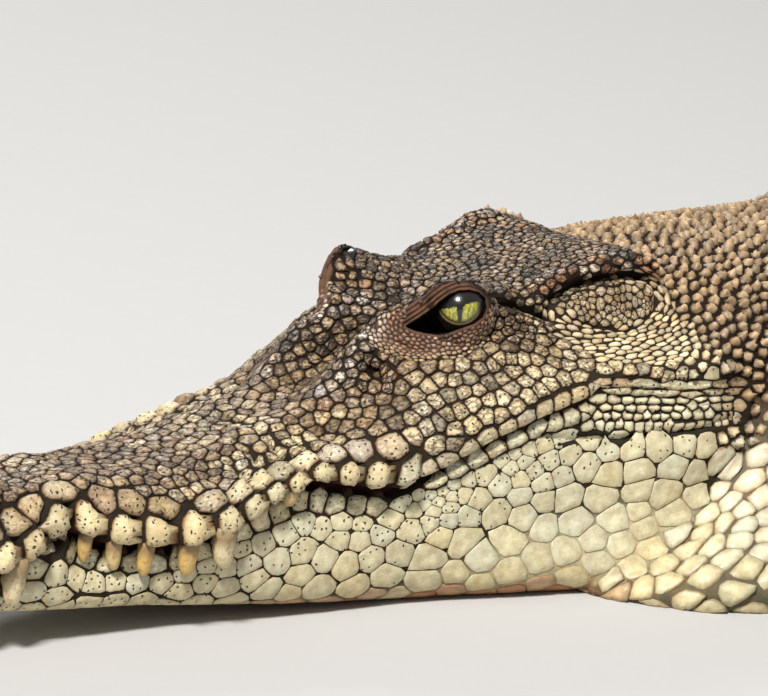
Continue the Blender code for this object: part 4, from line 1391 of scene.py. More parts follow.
# ---------------------------------------------------------------- materials
class Graph:
    """A material's nodes, written as calls; each call returns the socket of its result."""

    def __init__(self, name):
        self.material = bpy.data.materials.new(name)
        self.material.use_nodes = True
        self.nodes, self.links = self.material.node_tree.nodes, self.material.node_tree.links
        self.shader = self.nodes["Principled BSDF"]

    def put(self, socket, value):
        """Joins a socket to a result, or sets it to a number, colour or vector."""
        if isinstance(value, bpy.types.NodeSocket):
            self.links.new(value, socket)
        elif value is not None:
            if hasattr(socket.default_value, "__len__") and not hasattr(value, "__len__"):
                value = [value] * len(socket.default_value)
            if hasattr(value, "__len__") and len(value) == 3 and len(socket.default_value) == 4:
                value = (*value, 1)
            socket.default_value = value

    def node(self, kind, result, inputs, **settings):
        """Adds a node and gives back one of its results."""
        made = self.nodes.new("ShaderNode" + kind)
        for key, value in settings.items():
            setattr(made, key, value)
        for key, value in inputs.items():
            self.put(made.inputs[key], value)
        return made.outputs[result]

    def math(self, operation, a, b=None):
        """A sum of one or two numbers."""
        return self.node("Math", 0, {0: a, 1: b}, operation=operation)

    def times(self, a, b):
        """One number times another."""
        return self.math("MULTIPLY", a, b)

    def vector(self, operation, a, b=None, result=0):
        """A sum of one or two vectors."""
        return self.node("VectorMath", result, {0: a, 1: b}, operation=operation)

    def parts(self, vector, kind="XYZ"):
        """The three parts of a vector or colour."""
        return self.node("Separate" + kind, 0, {0: vector}).node.outputs

    def mix(self, share, a, b, blend="MIX"):
        """Colours a and b mixed by the share of b."""
        made = self.nodes.new("ShaderNodeMix")
        made.data_type, made.blend_type = "RGBA", blend
        self.put(made.inputs[0], share)
        self.put(made.inputs[6], a)
        self.put(made.inputs[7], b)
        return made.outputs[2]

    def colour_times(self, share, base, multiplier):
        """Base multiplied by another colour to the share given."""
        return self.mix(share, base, self.mix(1.0, base, multiplier, "MULTIPLY"))

    def step(self, value, low, high, to_low=0.0, to_high=1.0):
        """Smooth step of value from low to high."""
        return self.node("MapRange", 0, {0: value, 1: low, 2: high, 3: to_low, 4: to_high},
                         interpolation_type="SMOOTHSTEP")

    def noise(self, place, scale, detail=3.0, rough=.5, result=0):
        """Soft random cloud: 0 its value, 1 its colour."""
        return self.node("TexNoise", result, {"Vector": place, "Scale": scale, "Detail": detail,
                                              "Roughness": rough})

    def named(self, name, result=0):
        """What the mesh carries under a name: 0 its colour, 1 its vector, 3 its alpha."""
        return self.node("Attribute", result, {}, attribute_name=name)

    def place(self):
        """Place on the object."""
        return self.node("TexCoord", "Object", {})

    def stretch(self, vector, scale):
        """The vector scaled along each axis."""
        return self.node("Mapping", 0, {"Vector": vector, "Scale": scale})

    def finish(self, colour, rough, bump=None, depth=.001, strength=1.0, **values):
        """Joins the results to the shader; the values go straight on its sockets."""
        self.put(self.shader.inputs["Base Color"], colour)
        self.put(self.shader.inputs["Roughness"], rough)
        if bump is not None:
            normal = self.node("Bump", 0, {"Height": bump, "Distance": depth, "Strength": strength})
            self.put(self.shader.inputs["Normal"], normal)
        for key, value in values.items():
            self.put(self.shader.inputs[key.replace("_", " ")], value)
        return self.material


PORE_BLACK = (.012, .008, .006)


def scale_material():
    """Horny scales: fine cracks, pores, stained rims and wrinkles over each scale's own tint, painted
    light on each middle and painted shade on each rim.
    """
    g = Graph("scale horn")
    place, tint, lay = g.place(), g.named("tint"), g.named("lay", 1)
    crack_share, dot_share, edge = g.parts(g.named("marks"), "Color")
    tone = g.named("marks", 3)
    # each scale sees another part of the patterns
    shift = g.node("CombineXYZ", 0, {0: g.times(tone, .37), 1: g.times(tone, .91), 2: 0.0})
    flat = g.stretch(g.vector("ADD", lay, shift), (1, 1, 0))
    wobble = g.vector("MULTIPLY", g.noise(flat, 260, 2, result=1), (.0034, .0034, 0))
    bent = g.vector("ADD", flat, wobble)
    cells = g.node("TexVoronoi", "Distance", {"Vector": g.stretch(bent, (130, 250, 1)), "Scale": 1.0,
                                              "Randomness": 1.0},
                   feature="DISTANCE_TO_EDGE", voronoi_dimensions="2D")
    patchy = g.step(g.noise(place, 70, 2), .36, .52)
    crack = g.times(g.times(g.step(cells, .03, .15, 1.0, 0.0), crack_share), patchy)
    pores = g.node("TexVoronoi", "Distance", {"Vector": bent, "Scale": 210.0, "Randomness": .85},
                   feature="F1", voronoi_dimensions="2D")
    taken = g.math("LESS_THAN", g.parts(pores.node.outputs["Color"], "Color")[0], dot_share)
    dots = g.times(g.step(pores, .12, .19, 1.0, 0.0), taken)
    wrinkle = g.noise(g.stretch(bent, (350, 900, 1)), 1.0, 3)
    grain, cloud = g.noise(place, 900, 3), g.noise(place, 160, 3)
    rough_skin = g.noise(g.stretch(place, (190, 330, 330)), 1.0, 4, .62)
    speckle = g.times(g.step(rough_skin, .50, .56), crack_share)
    rust = g.times(g.step(edge, .70, 1.0), g.step(g.noise(place, 60, 2), .42, .62, 0.0, .8))
    base = tint
    for share, multiplier in ((g.step(cloud, .35, .7, 0.0, .55), (.62, .52, .42)),
                       (g.step(wrinkle, .5, .72, 0.0, .35), (1.35, 1.3, 1.2)),
                       # painted light: the middle of each scale is lightened
                       (g.step(edge, .0, .55, .6, 0.0), (1.22, 1.2, 1.16)),
                       # painted shade, with some dirt: the rim of each scale is darkened
                       (g.step(edge, .78, .98), (.60, .50, .42)),
                       (g.times(speckle, .86), (.20, .15, .12)),
                       (rust, (.75, .45, .25))):
        base = g.colour_times(share, base, multiplier)
    # the outer rim takes the grooves' near black: dark skin and painted shade where the scale meets the
    # skin
    for share, paint in ((g.step(edge, .90, .985, 0.0, .95), tuple(colour("groove"))),
                         (g.times(crack, .88), tuple(colour("groove"))),
                         (g.times(dots, .92), PORE_BLACK)):
        base = g.mix(share, base, paint)
    high = g.math("ADD", g.times(wrinkle, .35), g.times(grain, .12))
    for dent, depth in ((crack, .9), (speckle, .8), (dots, .5)):
        high = g.math("SUBTRACT", high, g.times(dent, depth))
    return g.finish(base, g.step(grain, .3, .7, .34, .56), high, .0008, 1.0, Specular_IOR_Level=.45)


def skin_material():
    """Skin in the grooves, lids and mouth, by its own tint."""
    g = Graph("bare skin")
    place = g.place()
    base = g.colour_times(g.step(g.noise(place, 120, 3), .35, .65), g.named("tint"), (1.5, 1.35, 1.2))
    return g.finish(base, .8, g.noise(place, 700, 3), .0005, .8, Specular_IOR_Level=.10)


def local_frame(side):
    """World axes of an eye's frame on the given side (1 is the right)."""
    flip = np.array([1, -side, 1])
    return [axis * flip for axis in EYE_AXES], EYE_AT * flip + np.array([SNOUT_X, MIDLINE_Y, 0])


def rings_mesh(rings, tip):
    """Points and faces of a closed body: rings, the last drawn to a tip and the first filled."""
    rings = np.array(rings)
    count, sides = rings.shape[:2]
    points = np.concatenate((rings.reshape(-1, 3), [tip], [rings[0].mean(0)]))
    i, j = np.arange(count - 1)[:, None] * sides, np.arange(sides)[None]
    nxt = (j + 1) % sides
    quads = np.stack((i + j, i + nxt, i + sides + nxt, i + sides + j), -1).reshape(-1, 4)
    last = (count - 1) * sides
    top = np.stack((last + j[0], last + nxt[0], np.full(sides, count * sides)), -1)
    bottom = np.stack((nxt[0], j[0], np.full(sides, count * sides + 1)), -1)
    return points, [quads, top, bottom]


def joined_rings(name, bodies):
    """One mesh of many ring bodies."""
    points, faces, base = [], [], 0
    for body, parts in bodies:
        points.append(body)
        faces += [f + base for f in parts]
        base += len(body)
    return mesh_from(name, np.concatenate(points), faces)


def ring_lay(angle, share, tone):
    """What a ring of a tooth or claw tells its material: turn, share of its length, and own tone."""
    return stacked(np.cos(angle), np.full(len(angle), share), np.full(len(angle), tone))


EYE_SIDES, EYE_RINGS = 40, 20
# Share of the eye's radius that its clear front stands out.
CORNEA_BULGE = .05


def eyes():
    """Two eyeballs with slit pupils, seated between the lids."""
    material = eye_material()
    angle = turns(EYE_SIDES)
    for side, name in ((-1, "left"), (1, "right")):
        axes, centre = local_frame(side)
        rings, lays = [], []
        for turn in np.radians(np.linspace(80, 4, EYE_RINGS)):
            r = EYE_RADIUS * (.985 + CORNEA_BULGE * math.exp(-(turn / .62) ** 2))
            ring = stacked(r * math.sin(turn) * np.cos(angle), r * math.sin(turn) * np.sin(angle),
                           np.full(EYE_SIDES, r * math.cos(turn)))
            rings.append(centre + ring @ np.array(axes))
            lays.append(ring / EYE_RADIUS)
        points, faces = rings_mesh(rings, centre + axes[2] * EYE_RADIUS * (.985 + CORNEA_BULGE))
        lays.append([[0, 0, 1.035], [0, 0, 0]])
        mesh = mesh_from("eyeball_" + name, points, faces)
        attribute(mesh, "lay", "FLOAT_VECTOR", np.concatenate(lays))
        piece = mesh_object("eyeball_" + name, mesh, material)
        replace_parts(piece, "eye_" + name)


IRIS_FLECK, IRIS_RIM, PUPIL_BLACK = (.07, .075, .01), (.03, .03, .01), (.004, .004, .003)
LID_SHADOW, WHITE_OF_EYE, LIMBUS = (.010, .007, .005), (.26, .18, .09), (.012, .008, .006)


def eye_material():
    """Yellow-green iris with a slit pupil under a wet cornea."""
    g = Graph("eye")
    lay = g.named("lay", 1)
    across, up, _ = g.parts(lay)
    flat = g.node("CombineXYZ", 0, {0: across, 1: g.math("SUBTRACT", up, .17), 2: 0.0})
    far = g.vector("LENGTH", flat, result="Value")
    streak = g.noise(g.stretch(lay, (9, 3.5, 2)), 1.6, 4, .6)
    fleck = g.noise(lay, 11, 4, .65)
    iris = g.mix(g.step(streak, .36, .62), tuple(colour("iris_dark")), tuple(colour("iris_pale")))
    iris = g.mix(g.step(fleck, .50, .70, 0.0, .7), iris, IRIS_FLECK)
    iris = g.mix(g.step(far, .60, .76), iris, IRIS_RIM)
    tall = g.math("DIVIDE", up, .70)
    lens = g.math("SUBTRACT", 1.0, g.times(tall, tall))
    ragged = g.noise(g.stretch(lay, (2, 14, 2)), 2.0, 3)
    width = g.times(g.times(lens, .115), g.step(ragged, .3, .7, .7, 1.2))
    width = g.math("ADD", width, g.times(g.step(up, -.06, .12), .10))
    slit = g.step(g.math("SUBTRACT", g.math("ABSOLUTE", across), width), -.012, .020, 1.0, 0.0)
    wander = g.times(g.math("SUBTRACT", g.noise(lay, 5, 3), .5), .16)
    high = g.math("ADD", g.math("ADD", up, g.times(across, -.22)), wander)
    rim = g.times(g.step(far, .75, .78), g.step(up, -.45, .0, .85, 0.0))
    base = iris
    for share, paint in ((slit, PUPIL_BLACK), (g.step(high, .00, .08), LID_SHADOW),
                         (g.step(far, .74, .78), LIMBUS), (rim, WHITE_OF_EYE),
                         (g.step(far, .81, .85), LIMBUS)):
        base = g.mix(share, base, paint)
    return g.finish(base, .22, streak, .0002, .5, Coat_Weight=.7, Coat_Roughness=.03,
                    Specular_IOR_Level=.5)


# Place behind the snout's tip, length and radius of each tooth, in head lengths.
UPPER_TEETH = ((.020, .026, .0065), (.060, .040, .0085), (.098, .050, .0100), (.196, .030, .0065),
               (.228, .034, .0072), (.268, .036, .0075), (.314, .042, .0090), (.358, .046, .0105),
               (.408, .026, .0080), (.452, .020, .0070))
LOWER_TEETH = ((.164, .034, .0070),)
# Teeth of each jaw, their way, and their roots' places inside the lips and over their line.
JAWS = ((UPPER_TEETH, -1, .0085, .010), (LOWER_TEETH, 1, .012, -.014))
TOOTH_SIDES, TOOTH_RINGS = 12, (0, .25, .45, .62, .76, .86, .93, .97)


def teeth():
    """Blunt, stained teeth standing out from under the upper lip."""
    rng = np.random.default_rng(41)
    width = bpy.context.scene.crocodile_body.tooth_width
    angle = turns(TOOTH_SIDES)
    bodies, lays = [], []
    for row, way, inset, rise in JAWS:
        for x, length, radius in row:
            for side in (-1, 1):
                root = head_place(x + rng.uniform(-.003, .003), curve(LIP_HALF_WIDTH, x) - inset,
                                  curve(LIP_HEIGHT, x) + rise, side)
                lean = unit(np.array([rng.uniform(-.05, .12), side * way * .02, way]))
                out = np.array([0, side, 0.0])
                fore = np.cross(lean, out)
                long = length * HEAD * rng.uniform(.82, .95) + .006
                rings = []
                tone = rng.random()
                for t in TOOTH_RINGS:
                    r = radius * HEAD * (width - .42 * t) * (1 - t ** 7) ** .5
                    mid = root + lean * long * t + fore * .0012 * math.sin(t * 2.4)
                    rings.append(mid + out * (np.cos(angle) * r * .9)[:, None]
                                 + fore * (np.sin(angle) * r)[:, None])
                    lays.append(ring_lay(angle, t, tone))
                points, faces = rings_mesh(rings, root + lean * long)
                if side * way > 0:
                    faces = [f[:, ::-1] for f in faces]
                lays.append([[0, 1, tone], [0, 0, tone]])
                bodies.append((points, faces))
    mesh = joined_rings("teeth", bodies)
    attribute(mesh, "lay", "FLOAT_VECTOR", np.concatenate(lays))
    mesh_object("teeth", mesh, tooth_material())


def tooth_material():
    """Ivory with brown and orange stain."""
    g = Graph("stained ivory")
    _, share, tone = g.parts(g.named("lay", 1))
    place = g.place()
    blot = g.noise(place, 260, 3)
    fine = g.noise(g.stretch(place, (1500, 1500, 200)), 1.0, 2)
    base = g.mix(g.step(tone, .35, .75), tuple(colour("ivory")), tuple(colour("tooth_stain")))
    for part, stain in ((g.step(blot, .46, .70, 0.0, .7), (.30, .15, .04)),
                        (g.step(share, .25, .60, .8, 0.0), (.20, .12, .05)),
                        (g.step(fine, .5, .75, 0.0, .4), (.25, .16, .08))):
        base = g.mix(part, base, stain)
    return g.finish(base, .38, fine, .0003, .6, Specular_IOR_Level=.5)


# Half thickness of a claw at its root, and how far inside the toe it starts.
CLAW_RADIUS, CLAW_ROOT = .0078, .010
CLAW_SIDES, CLAW_RINGS = 14, (0, .12, .28, .44, .60, .74, .86, .95)


def claws():
    """Curved horn claws on the toes."""
    rng = np.random.default_rng(43)
    angle = turns(CLAW_SIDES)
    bodies, lays = [], []
    for name in CLAWS:
        co = points_of(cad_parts[name].data)
        tip = co[co[:, 2].argmin()]
        far = np.linalg.norm(co - tip, axis=1)
        base = co[far > far.max() * .85].mean(0)
        ahead = unit(tip - base)
        side = unit(np.cross(ahead, [0, 0, 1.0]))
        up = np.cross(side, ahead)
        start = base - ahead * CLAW_ROOT
        whole = np.linalg.norm(tip - base) + bpy.context.scene.crocodile_body.claw_growth
        rings = []
        tone = rng.random()
        for t in CLAW_RINGS:
            mid = start + ahead * whole * t + up * (.30 * CLAW_RADIUS + .011 * t - .020 * t * t)
            wide = CLAW_RADIUS * .68 * (1 - t) ** .62 + .0004
            tall = CLAW_RADIUS * .92 * (1 - t) ** .70 + .0005
            rings.append(mid + side * (np.cos(angle) * wide)[:, None]
                         + up * (np.sin(angle) * tall)[:, None])
            lays.append(ring_lay(angle, t, tone))
        points, faces = rings_mesh(rings, start + ahead * whole + up * (.30 * CLAW_RADIUS - .010))
        points[:, 2] = np.maximum(points[:, 2], .0008)
        lays.append([[0, 1, tone], [0, 0, tone]])
        bodies.append((points, faces))
    mesh = joined_rings("claws", bodies)
    attribute(mesh, "lay", "FLOAT_VECTOR", np.concatenate(lays))
    piece = mesh_object("claws", mesh, claw_material())
    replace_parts(piece, *CLAWS)


def claw_material():
    """Dark horn, paler and worn at the tip."""
    g = Graph("claw horn")
    lay = g.named("lay", 1)
    grain = g.noise(g.stretch(lay, (6, 1.2, 3)), 4.0, 4)
    dirt = g.noise(g.place(), 300, 3)
    base = tuple(colour("horn"))
    for share, paint in ((g.step(grain, .35, .65), (.12, .085, .055)),
                         (g.step(g.parts(lay)[1], .65, 1.0, 0.0, .7), (.30, .22, .14)),
                         (g.step(dirt, .55, .75, 0.0, .5), (.28, .17, .10))):
        base = g.mix(share, base, paint)
    return g.finish(base, .35, grain, .0004, .7, Specular_IOR_Level=.5)


# Start, end and number of fins: first in two rows, then in one.
DOUBLE_CREST = (1.98, 2.98, 16)
SINGLE_CREST = (2.98, 3.93, 17)
# Corners of a fin's rings, and their heights as shares of its own.
FIN_SIDES, FIN_RINGS = 16, (-.28, 0, .12, .28, .46, .64, .80, .91, .97)
# Height of the fins, and how far they stand from the spine, along the tail.
CREST_HEIGHT = ((1.98, .010), (2.2, .020), (2.98, .042), (3.4, .048), (3.75, .036), (3.93, .018))
CREST_SPREAD = ((1.98, .070), (2.4, .046), (2.98, .008))


def crest(skin):
    """Upright fins along the tail: two rows, then one."""
    rng = np.random.default_rng(47)
    thickness = bpy.context.scene.crocodile_body.fin_thickness
    bodies, tints, lays, marks, rows = [], [], [], [], []
    for (start, end, count), spread in ((DOUBLE_CREST, True), (SINGLE_CREST, False)):
        pitch = (end - start) / count
        for i in range(count):
            s = start + (i + .5) * pitch
            for side in ((-1, 1) if spread else (0,)):
                rows.append((s, side * curve(CREST_SPREAD, s), pitch))
    angle = turns(FIN_SIDES)
    for s, o, pitch in rows:
        x, y, h = spine_at(s)
        fore = np.array([math.cos(h), math.sin(h), 0])
        out = np.array([-math.sin(h), math.cos(h), 0])
        foot = np.array([x, y, 0]) + out * o
        top, _ = skin.cast(np.array([foot + [0, 0, 1.0]]), np.array([[0, 0, -1.0]]))
        foot[2] = top[0, 2]
        tall = curve(CREST_HEIGHT, s) * rng.uniform(.92, 1.08)
        long = pitch * .98
        up = unit(np.array([0, 0, 1.0]) + out * np.sign(o) * .12 * (abs(o) > .02))
        rings = []
        tone = rng.random()
        tint = hide_colour((foot + up * tall * .5)[None], up[None])[0] * rng.uniform(.8, 1.15)
        for t in FIN_RINGS:
            k = max(t, 0)
            front = -long * .52 + long * .80 * k ** 1.25
            rear = long * .50 + long * .06 * math.sin(math.pi * k) - long * .12 * k
            thick = thickness * (1 - k) ** .55 + .0007
            flute = 1 + .10 * np.cos(angle * 6 + tone * 9)
            middle, half = (front + rear) / 2, max((rear - front) / 2, .0012)
            round_off = (1 - k ** 6) ** .5
            rings.append(foot + up * tall * t + fore * (middle + np.cos(angle)[:, None] * half * round_off)
                         + out * (np.sin(angle) * thick * flute)[:, None])
            lays.append(ring_lay(angle, tall * t, tone) * (half, 1, 1))
            # the fin's foot is marked as a rim, so the horn material darkens and stains it like a scale's
            # rim, partly painted shade
            marks.append(np.tile((.35, .0, .4 + .5 * (k == 0), tone), (FIN_SIDES, 1)))
        points, faces = rings_mesh(rings, foot + up * tall + fore * long * .33)
        lays.append([[0, tall, tone], [0, 0, tone]])
        marks.append(np.tile((.2, 0, .6, tone), (2, 1)))
        tints.append(np.tile(tint, (len(points), 1)))
        bodies.append((points, faces))
    mesh = joined_rings("crest", bodies)
    lay = np.concatenate(lays)
    counts = [len(points) for points, _ in bodies]
    feet = np.array([points[0] for points, _ in bodies])
    at = np.repeat(unwrap_of(feet)(feet), counts, 0)
    dress(mesh, np.concatenate(tints), lay, np.concatenate(marks), at + lay[:, :2] * PATCH / CREST_REACH)
    mesh_object("crest", mesh, scale_material())


def unwrap_of(places):
    """Unwraps places by their distance along the animal and their turn about its middle."""
    s, _, _ = along_body(places)
    low, high = s.min(), s.max()

    def unwrap(points):
        """Places on the map, from 0 to 1."""
        s, o, _ = along_body(points)
        tall = curve(BODY_HEIGHT, s)
        angle = np.arctan2(o, points[:, 2] - .4 * tall) / math.tau + .5
        return stacked(.01 + .98 * (s - low) / (high - low), .01 + .98 * angle)
    return unwrap


# ---------------------------------------------------------------- laying the scales
# Where one coat ends and the next begins, behind the snout's tip: the first two in head lengths.
SNOUT_END, FACE_END, NECK_END, CHEST_END, TRUNK_LAST = .62, 1.07, .92, 1.45, 1.98
# What one step leaves for the next.
WORK = {}


def skin_made():
    """The skin, as the skin's operator leaves it for the others."""
    if "skin" not in WORK:
        raise RuntimeError("the skin has to be made first")
    return WORK["skin"]


def roots():
    """Roots of all the scales and the nearest others of each, laid once for every coat."""
    if "roots" not in WORK:
        skin = skin_made()
        laid = Seeds.joined([lip_seeds(skin), fold_seeds(skin), back_seeds(skin), tail_seeds(skin),
                             belly_seeds(skin)])
        every = Seeds.joined([laid, strewn_seeds(skin, laid)])
        every = settled(skin, every, near_each(every), len(laid.p), 2)
        WORK["roots"] = every, near_each(every)
    return WORK["roots"]


def coat(name, part):
    """Makes the scales whose roots lie in one part of the animal."""
    every, near = roots()
    s, _, _ = along_body(every.p)
    index = np.nonzero(part(s, every.p[:, 1] < MIDLINE_Y) & (every.kind != kind_index("bare")[0]))[0]
    if "horn" not in WORK:
        WORK["horn"] = scale_material()
    unwrap = unwrap_of(every.p[index])
    return plates(name, skin_made(), every, near, index, scale_paint, WORK["horn"], unwrap)


# ---------------------------------------------------------------- the studio
# Name, direction from the head, share of the key light's power and width of each lamp.
LAMPS = (("key", (-.544, -.289, .788), 1.0, 1.8), ("rim", (.45, .70, .55), .18, 3.0))
# How far the lamps stand from the head, and the colour of the light from all round.
LAMP_DISTANCE = 12.0
SKY = (.78, .82, .88, 1)


def studio():
    """Floor, lights, world and camera."""
    scene = bpy.context.scene
    settings = scene.crocodile_studio
    world = bpy.data.worlds.new("studio")
    scene.world = world
    world.use_nodes = True
    background = world.node_tree.nodes["Background"]
    background.inputs[0].default_value = SKY
    background.inputs[1].default_value = settings.fill
    scene.view_settings.view_transform = "Standard"
    head = Vector((SNOUT_X + .7 * HEAD, MIDLINE_Y, .2 * HEAD))
    for name, way, share, width in LAMPS:
        lamp = bpy.data.lights.new(name, "AREA")
        lamp.energy, lamp.size = settings.key_power * share, width
        light = bpy.data.objects.new(name, lamp)
        scene.collection.objects.link(light)
        light.location = head + Vector(way).normalized() * LAMP_DISTANCE
        light.rotation_euler = Vector(way).to_track_quat("Z", "Y").to_euler()
    half = settings.floor_width / 2
    points = np.array([(-half, -half, 0), (half, -half, 0), (half, half, 0), (-half, half, 0)])
    floor = bpy.data.objects.new("floor", mesh_from("floor", points, [np.array([[0, 1, 2, 3]])]))
    scene.collection.objects.link(floor)
    g = Graph("floor")
    speck = g.noise(g.place(), 40, 4)
    shade = g.mix(speck, tuple(colour("floor") * .97), tuple(colour("floor")))
    floor.data.materials.append(g.finish(shade, .8))
    camera()


# Where the camera looks (behind the tip, over the floor) and how far off it stands, in head lengths.
AIM, STAND_OFF = (.71, .268), 4.49


def camera():
    """A long lens that meets the left eye face on, with the head across the picture."""
    aim = np.array([SNOUT_X + AIM[0] * HEAD, MIDLINE_Y, AIM[1] * HEAD])
    data = bpy.data.cameras.new("camera")
    data.sensor_width = 36
    data.lens = bpy.context.scene.crocodile_studio.lens
    place = Matrix.Identity(4)
    for i, row in enumerate(np.column_stack((*EYE_AXES, aim + EYE_AXES[2] * STAND_OFF * HEAD))):
        place[i][:] = row
    cam = bpy.data.objects.new("camera", data)
    bpy.context.scene.collection.objects.link(cam)
    cam.matrix_world = place
    bpy.context.scene.camera = cam


# ---------------------------------------------------------------- settings
def size(name, description, default):
    """A length that a user can change."""
    return FloatProperty(name=name, description=description, default=default, min=0, precision=4,
                         subtype="DISTANCE", unit="LENGTH")


def tint(name, description, default):
    """A colour that a user can change."""
    return FloatVectorProperty(name=name, description=description, default=default, size=3, min=0, max=1,
                               subtype="COLOR")


class CrocodileColours(bpy.types.PropertyGroup):
    """Colours of the hide, scales, eyes, teeth, claws and floor."""

    snout: tint("Snout", "Scales on top of the snout and skull", (.31, .212, .115))
    face: tint("Face", "Scales of the cheeks", (.70, .58, .36))
    lip: tint("Lip", "Lobes of the upper lip", (.62, .52, .30))
    jaw: tint("Jaw", "Scales of the lower jaw", (.61, .56, .37))
    jaw_low: tint("Jaw underside", "Lowest scales of the jaw", (.56, .49, .29))
    throat: tint("Throat", "Scales of the throat", (.64, .565, .39))
    lid: tint("Lid skin", "Skin between the granules of the lids", (.040, .020, .013))
    lid_grain: tint("Lid granules", "Granules of the lids", (.20, .115, .075))
    neck: tint("Neck", "Knobs of the neck", (.30, .203, .11))
    back: tint("Back", "Shields of the back", (.17, .125, .065))
    flank: tint("Flank", "Scales of the flanks and limbs", (.36, .27, .14))
    belly: tint("Belly", "Plates of the belly", (.62, .53, .32))
    band: tint("Bands", "Dark bands across the back and tail", (.055, .045, .03))
    # near black: dark skin and dirt between the scales, deepened with painted shade
    groove: tint("Grooves", "Skin and dirt between scales", (.012, .008, .0055))
    rust: tint("Rust stain", "Iron stain on some scales", (.35, .10, .025))
    white: tint("Worn horn", "Pale worn scales", (.62, .55, .47))
    # near black: the dark red skin of the gap, deepened with painted shade; it is also painted into the
    # eye's opening
    mouth: tint("Mouth", "Skin inside the gap of the lips", (.035, .010, .008))
    iris_pale: tint("Iris, pale", "Pale streaks of the iris", (.47, .45, .07))
    iris_dark: tint("Iris, dark", "Dark streaks of the iris", (.15, .15, .02))
    ivory: tint("Tooth ivory", "Clean part of the teeth", (.66, .55, .33))
    tooth_stain: tint("Tooth stain", "Stained part of the teeth", (.58, .38, .12))
    horn: tint("Claw horn", "Dark horn of the claws", (.035, .025, .018))
    floor: tint("Floor", "Studio floor", (.50, .485, .46))


class CrocodileScales(bpy.types.PropertyGroup):
    """Length of each kind of scale along its lie."""

    snout: size("Snout scales", "Length of a scale on top of the snout", .0082)
    table: size("Skull table scales", "Length of a scale on top of the skull", .0067)
    face: size("Face scales", "Length of a scale on the cheeks", .0102)
    lip: size("Lip lobes", "Length of a scale on the edge of the upper lip", .0215)
    lip_row: size("Second lip row", "Length of a scale in the row above the lip", .0175)
    lower_lip: size("Lower lip scales", "Length of a scale on the edge of the lower lip", .0150)
    jaw: size("Jaw scales", "Length of a flat scale on the lower jaw", .0180)
    lid: size("Lid granules", "Length of a granule on the lower lid", .0030)
    ear: size("Ear scales", "Length of a scale on the ear flap", .0066)
    ear_rim: size("Ear rings", "Length of a scale in the rings round the ear flap", .0085)
    band: size("Lip band", "Length of a scale in the band to the mouth's corner", .0170)
    fold: size("Fold scales", "Length of a scale on the stretch folds", .0105)
    neck: size("Neck knobs", "Length of a domed scale on the neck", .0092)
    throat: size("Throat scales", "Length of an overlapping scale on the throat", .0190)
    nuchal: size("Neck shields", "Length of a keeled shield on the nape", .052)
    scute: size("Back shields", "Length of a keeled shield on the back", .056)
    flank: size("Flank scales", "Length of a scale on the flanks", .023)
    belly: size("Belly plates", "Length of a plate under the belly", .027)
    whorl: size("Tail scales", "Length of a scale in the rings of the tail", .058)
    limb: size("Limb scales", "Length of a scale on the limbs", .0155)
    foot: size("Foot scales", "Length of a scale on the feet", .0095)
    bare: size("Bare skin pitch", "Pitch of the unscaled spots in slits and openings", .0050)


class CrocodileBody(bpy.types.PropertyGroup):
    """Sizes of the skin, eyes, teeth, claws and crest."""

    voxel: size("Skin grain", "Edge of the skin's first even quads", .006)
    coat_depth: size("Coat depth", "How far the skin lies under the frame's surface", .0012)
    tooth_width: FloatProperty(name="Tooth width", description="Girth of the teeth against their root's",
                               default=1.52, min=.5, max=2, subtype="FACTOR")
    claw_growth: size("Claw growth", "Length that each claw gains over the frame's", .010)
    fin_thickness: size("Fin thickness", "Half thickness of the tail's fins at their foot", .0075)


class CrocodileStudio(bpy.types.PropertyGroup):
    """Light, floor and camera."""

    key_power: FloatProperty(name="Key light", description="Power of the main lamp", default=2350, min=0,
                             unit="POWER")
    fill: FloatProperty(name="Fill", description="Strength of the light from all round", default=.34,
                        min=0, max=2, subtype="FACTOR")
    floor_width: size("Floor width", "Side of the square floor", 60)
    lens: FloatProperty(name="Lens", description="Focal length of the camera", default=175.64, min=10,
                        unit="CAMERA")


# ---------------------------------------------------------------- operators
def coats(parts, keep=lambda left: True):
    """Makes one coat for each name and stretch of the animal."""
    for name, low, high in parts:
        coat(name, lambda s, left: (s >= low) & (s < high) & keep(left))


class CROCODILE_OT_skin(bpy.types.Operator):
    """Make the one skin, with its lids, ears, lips and folds"""
    bl_idname = "crocodile.skin"
    bl_label = "Skin"

    def execute(self, context):
        mesh = head_skin(base_skin())
        WORK.clear()
        WORK["skin"] = Skin(mesh)
        attribute(mesh, "tint", "FLOAT_COLOR", skin_paint(WORK["skin"].co, WORK["skin"].no))
        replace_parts(mesh_object("hide", mesh, skin_material()), *FLESH)
        return {"FINISHED"}


class CROCODILE_OT_head_scales(bpy.types.Operator):
    """Make the scales of the snout, face and neck, left and right"""
    bl_idname = "crocodile.head_scales"
    bl_label = "Head scales"

    def execute(self, context):
        for side, on_left in (("left", True), ("right", False)):
            coats((("snout_scales_" + side, -1, SNOUT_END * HEAD),
                   ("face_scales_" + side, SNOUT_END * HEAD, FACE_END * HEAD),
                   ("neck_scales_" + side, FACE_END * HEAD, NECK_END)), lambda left: left == on_left)
        return {"FINISHED"}


class CROCODILE_OT_body_scales(bpy.types.Operator):
    """Make the shields and scales of the trunk, limbs, feet and tail"""
    bl_idname = "crocodile.body_scales"
    bl_label = "Body scales"

    def execute(self, context):
        coats((("chest_scales", NECK_END, CHEST_END), ("hip_scales", CHEST_END, TRUNK_LAST),
               ("tail_scales", TRUNK_LAST, TOTAL_LENGTH + 1)))
        return {"FINISHED"}


class CROCODILE_OT_crest(bpy.types.Operator):
    """Make the upright fins of the tail"""
    bl_idname = "crocodile.crest"
    bl_label = "Crest"

    def execute(self, context):
        crest(skin_made())
        return {"FINISHED"}


class CROCODILE_OT_eyes(bpy.types.Operator):
    """Make the two eyes"""
    bl_idname = "crocodile.eyes"
    bl_label = "Eyes"

    def execute(self, context):
        eyes()
        return {"FINISHED"}


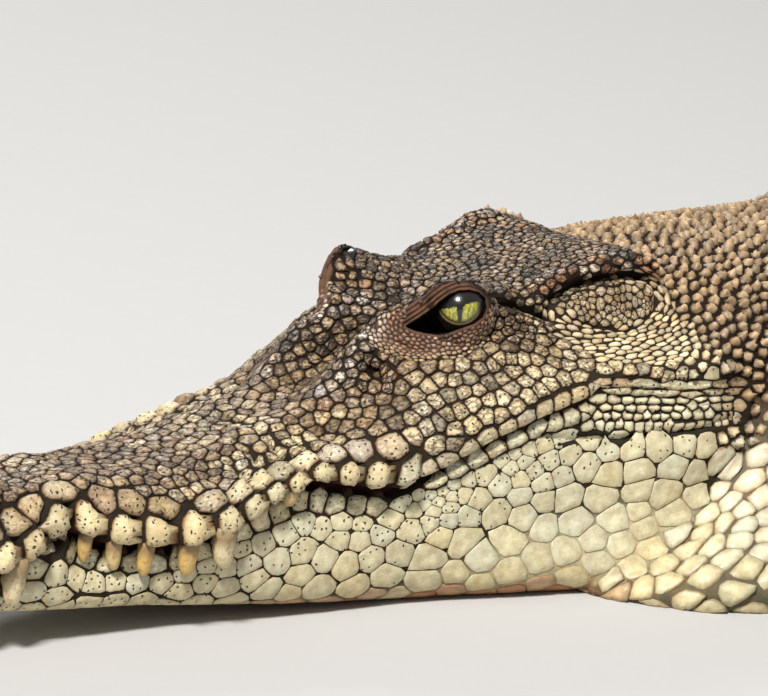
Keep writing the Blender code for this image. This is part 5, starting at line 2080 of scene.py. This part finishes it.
class CROCODILE_OT_teeth(bpy.types.Operator):
    """Make the teeth that a closed mouth shows"""
    bl_idname = "crocodile.teeth"
    bl_label = "Teeth"

    def execute(self, context):
        teeth()
        return {"FINISHED"}


class CROCODILE_OT_claws(bpy.types.Operator):
    """Make the claws of the hands and feet"""
    bl_idname = "crocodile.claws"
    bl_label = "Claws"

    def execute(self, context):
        claws()
        return {"FINISHED"}


class CROCODILE_OT_stage(bpy.types.Operator):
    """Make the floor, lights and camera"""
    bl_idname = "crocodile.stage"
    bl_label = "Stage"

    def execute(self, context):
        studio()
        return {"FINISHED"}


STEPS = (CROCODILE_OT_skin, CROCODILE_OT_head_scales, CROCODILE_OT_body_scales, CROCODILE_OT_crest,
         CROCODILE_OT_eyes, CROCODILE_OT_teeth, CROCODILE_OT_claws, CROCODILE_OT_stage)
SETTINGS = (("crocodile_colours", CrocodileColours), ("crocodile_scales", CrocodileScales),
            ("crocodile_body", CrocodileBody), ("crocodile_studio", CrocodileStudio))


class CROCODILE_PT_panel(bpy.types.Panel):
    """Steps and settings of the crocodile"""
    bl_idname = "CROCODILE_PT_panel"
    bl_label = "Crocodile"
    bl_space_type = "VIEW_3D"
    bl_region_type = "UI"
    bl_category = "Crocodile"

    def draw(self, context):
        for step in STEPS:
            self.layout.operator(step.bl_idname)
        for name, group in SETTINGS:
            box = self.layout.box()
            for key in group.__annotations__:
                box.prop(getattr(context.scene, name), key)


def register():
    """Adds the settings, steps and panel."""
    for name, group in SETTINGS:
        bpy.utils.register_class(group)
        setattr(bpy.types.Scene, name, PointerProperty(type=group))
    for made in (*STEPS, CROCODILE_PT_panel):
        bpy.utils.register_class(made)


def unregister():
    """Takes the panel, steps and settings away."""
    for made in (CROCODILE_PT_panel, *reversed(STEPS)):
        bpy.utils.unregister_class(made)
    for name, group in reversed(SETTINGS):
        delattr(bpy.types.Scene, name)
        bpy.utils.unregister_class(group)


def main():
    """Makes every piece in order."""
    register()
    for step in STEPS:
        group, name = step.bl_idname.split(".")
        getattr(getattr(bpy.ops, group), name)()


if __name__ == "__main__":
    main()
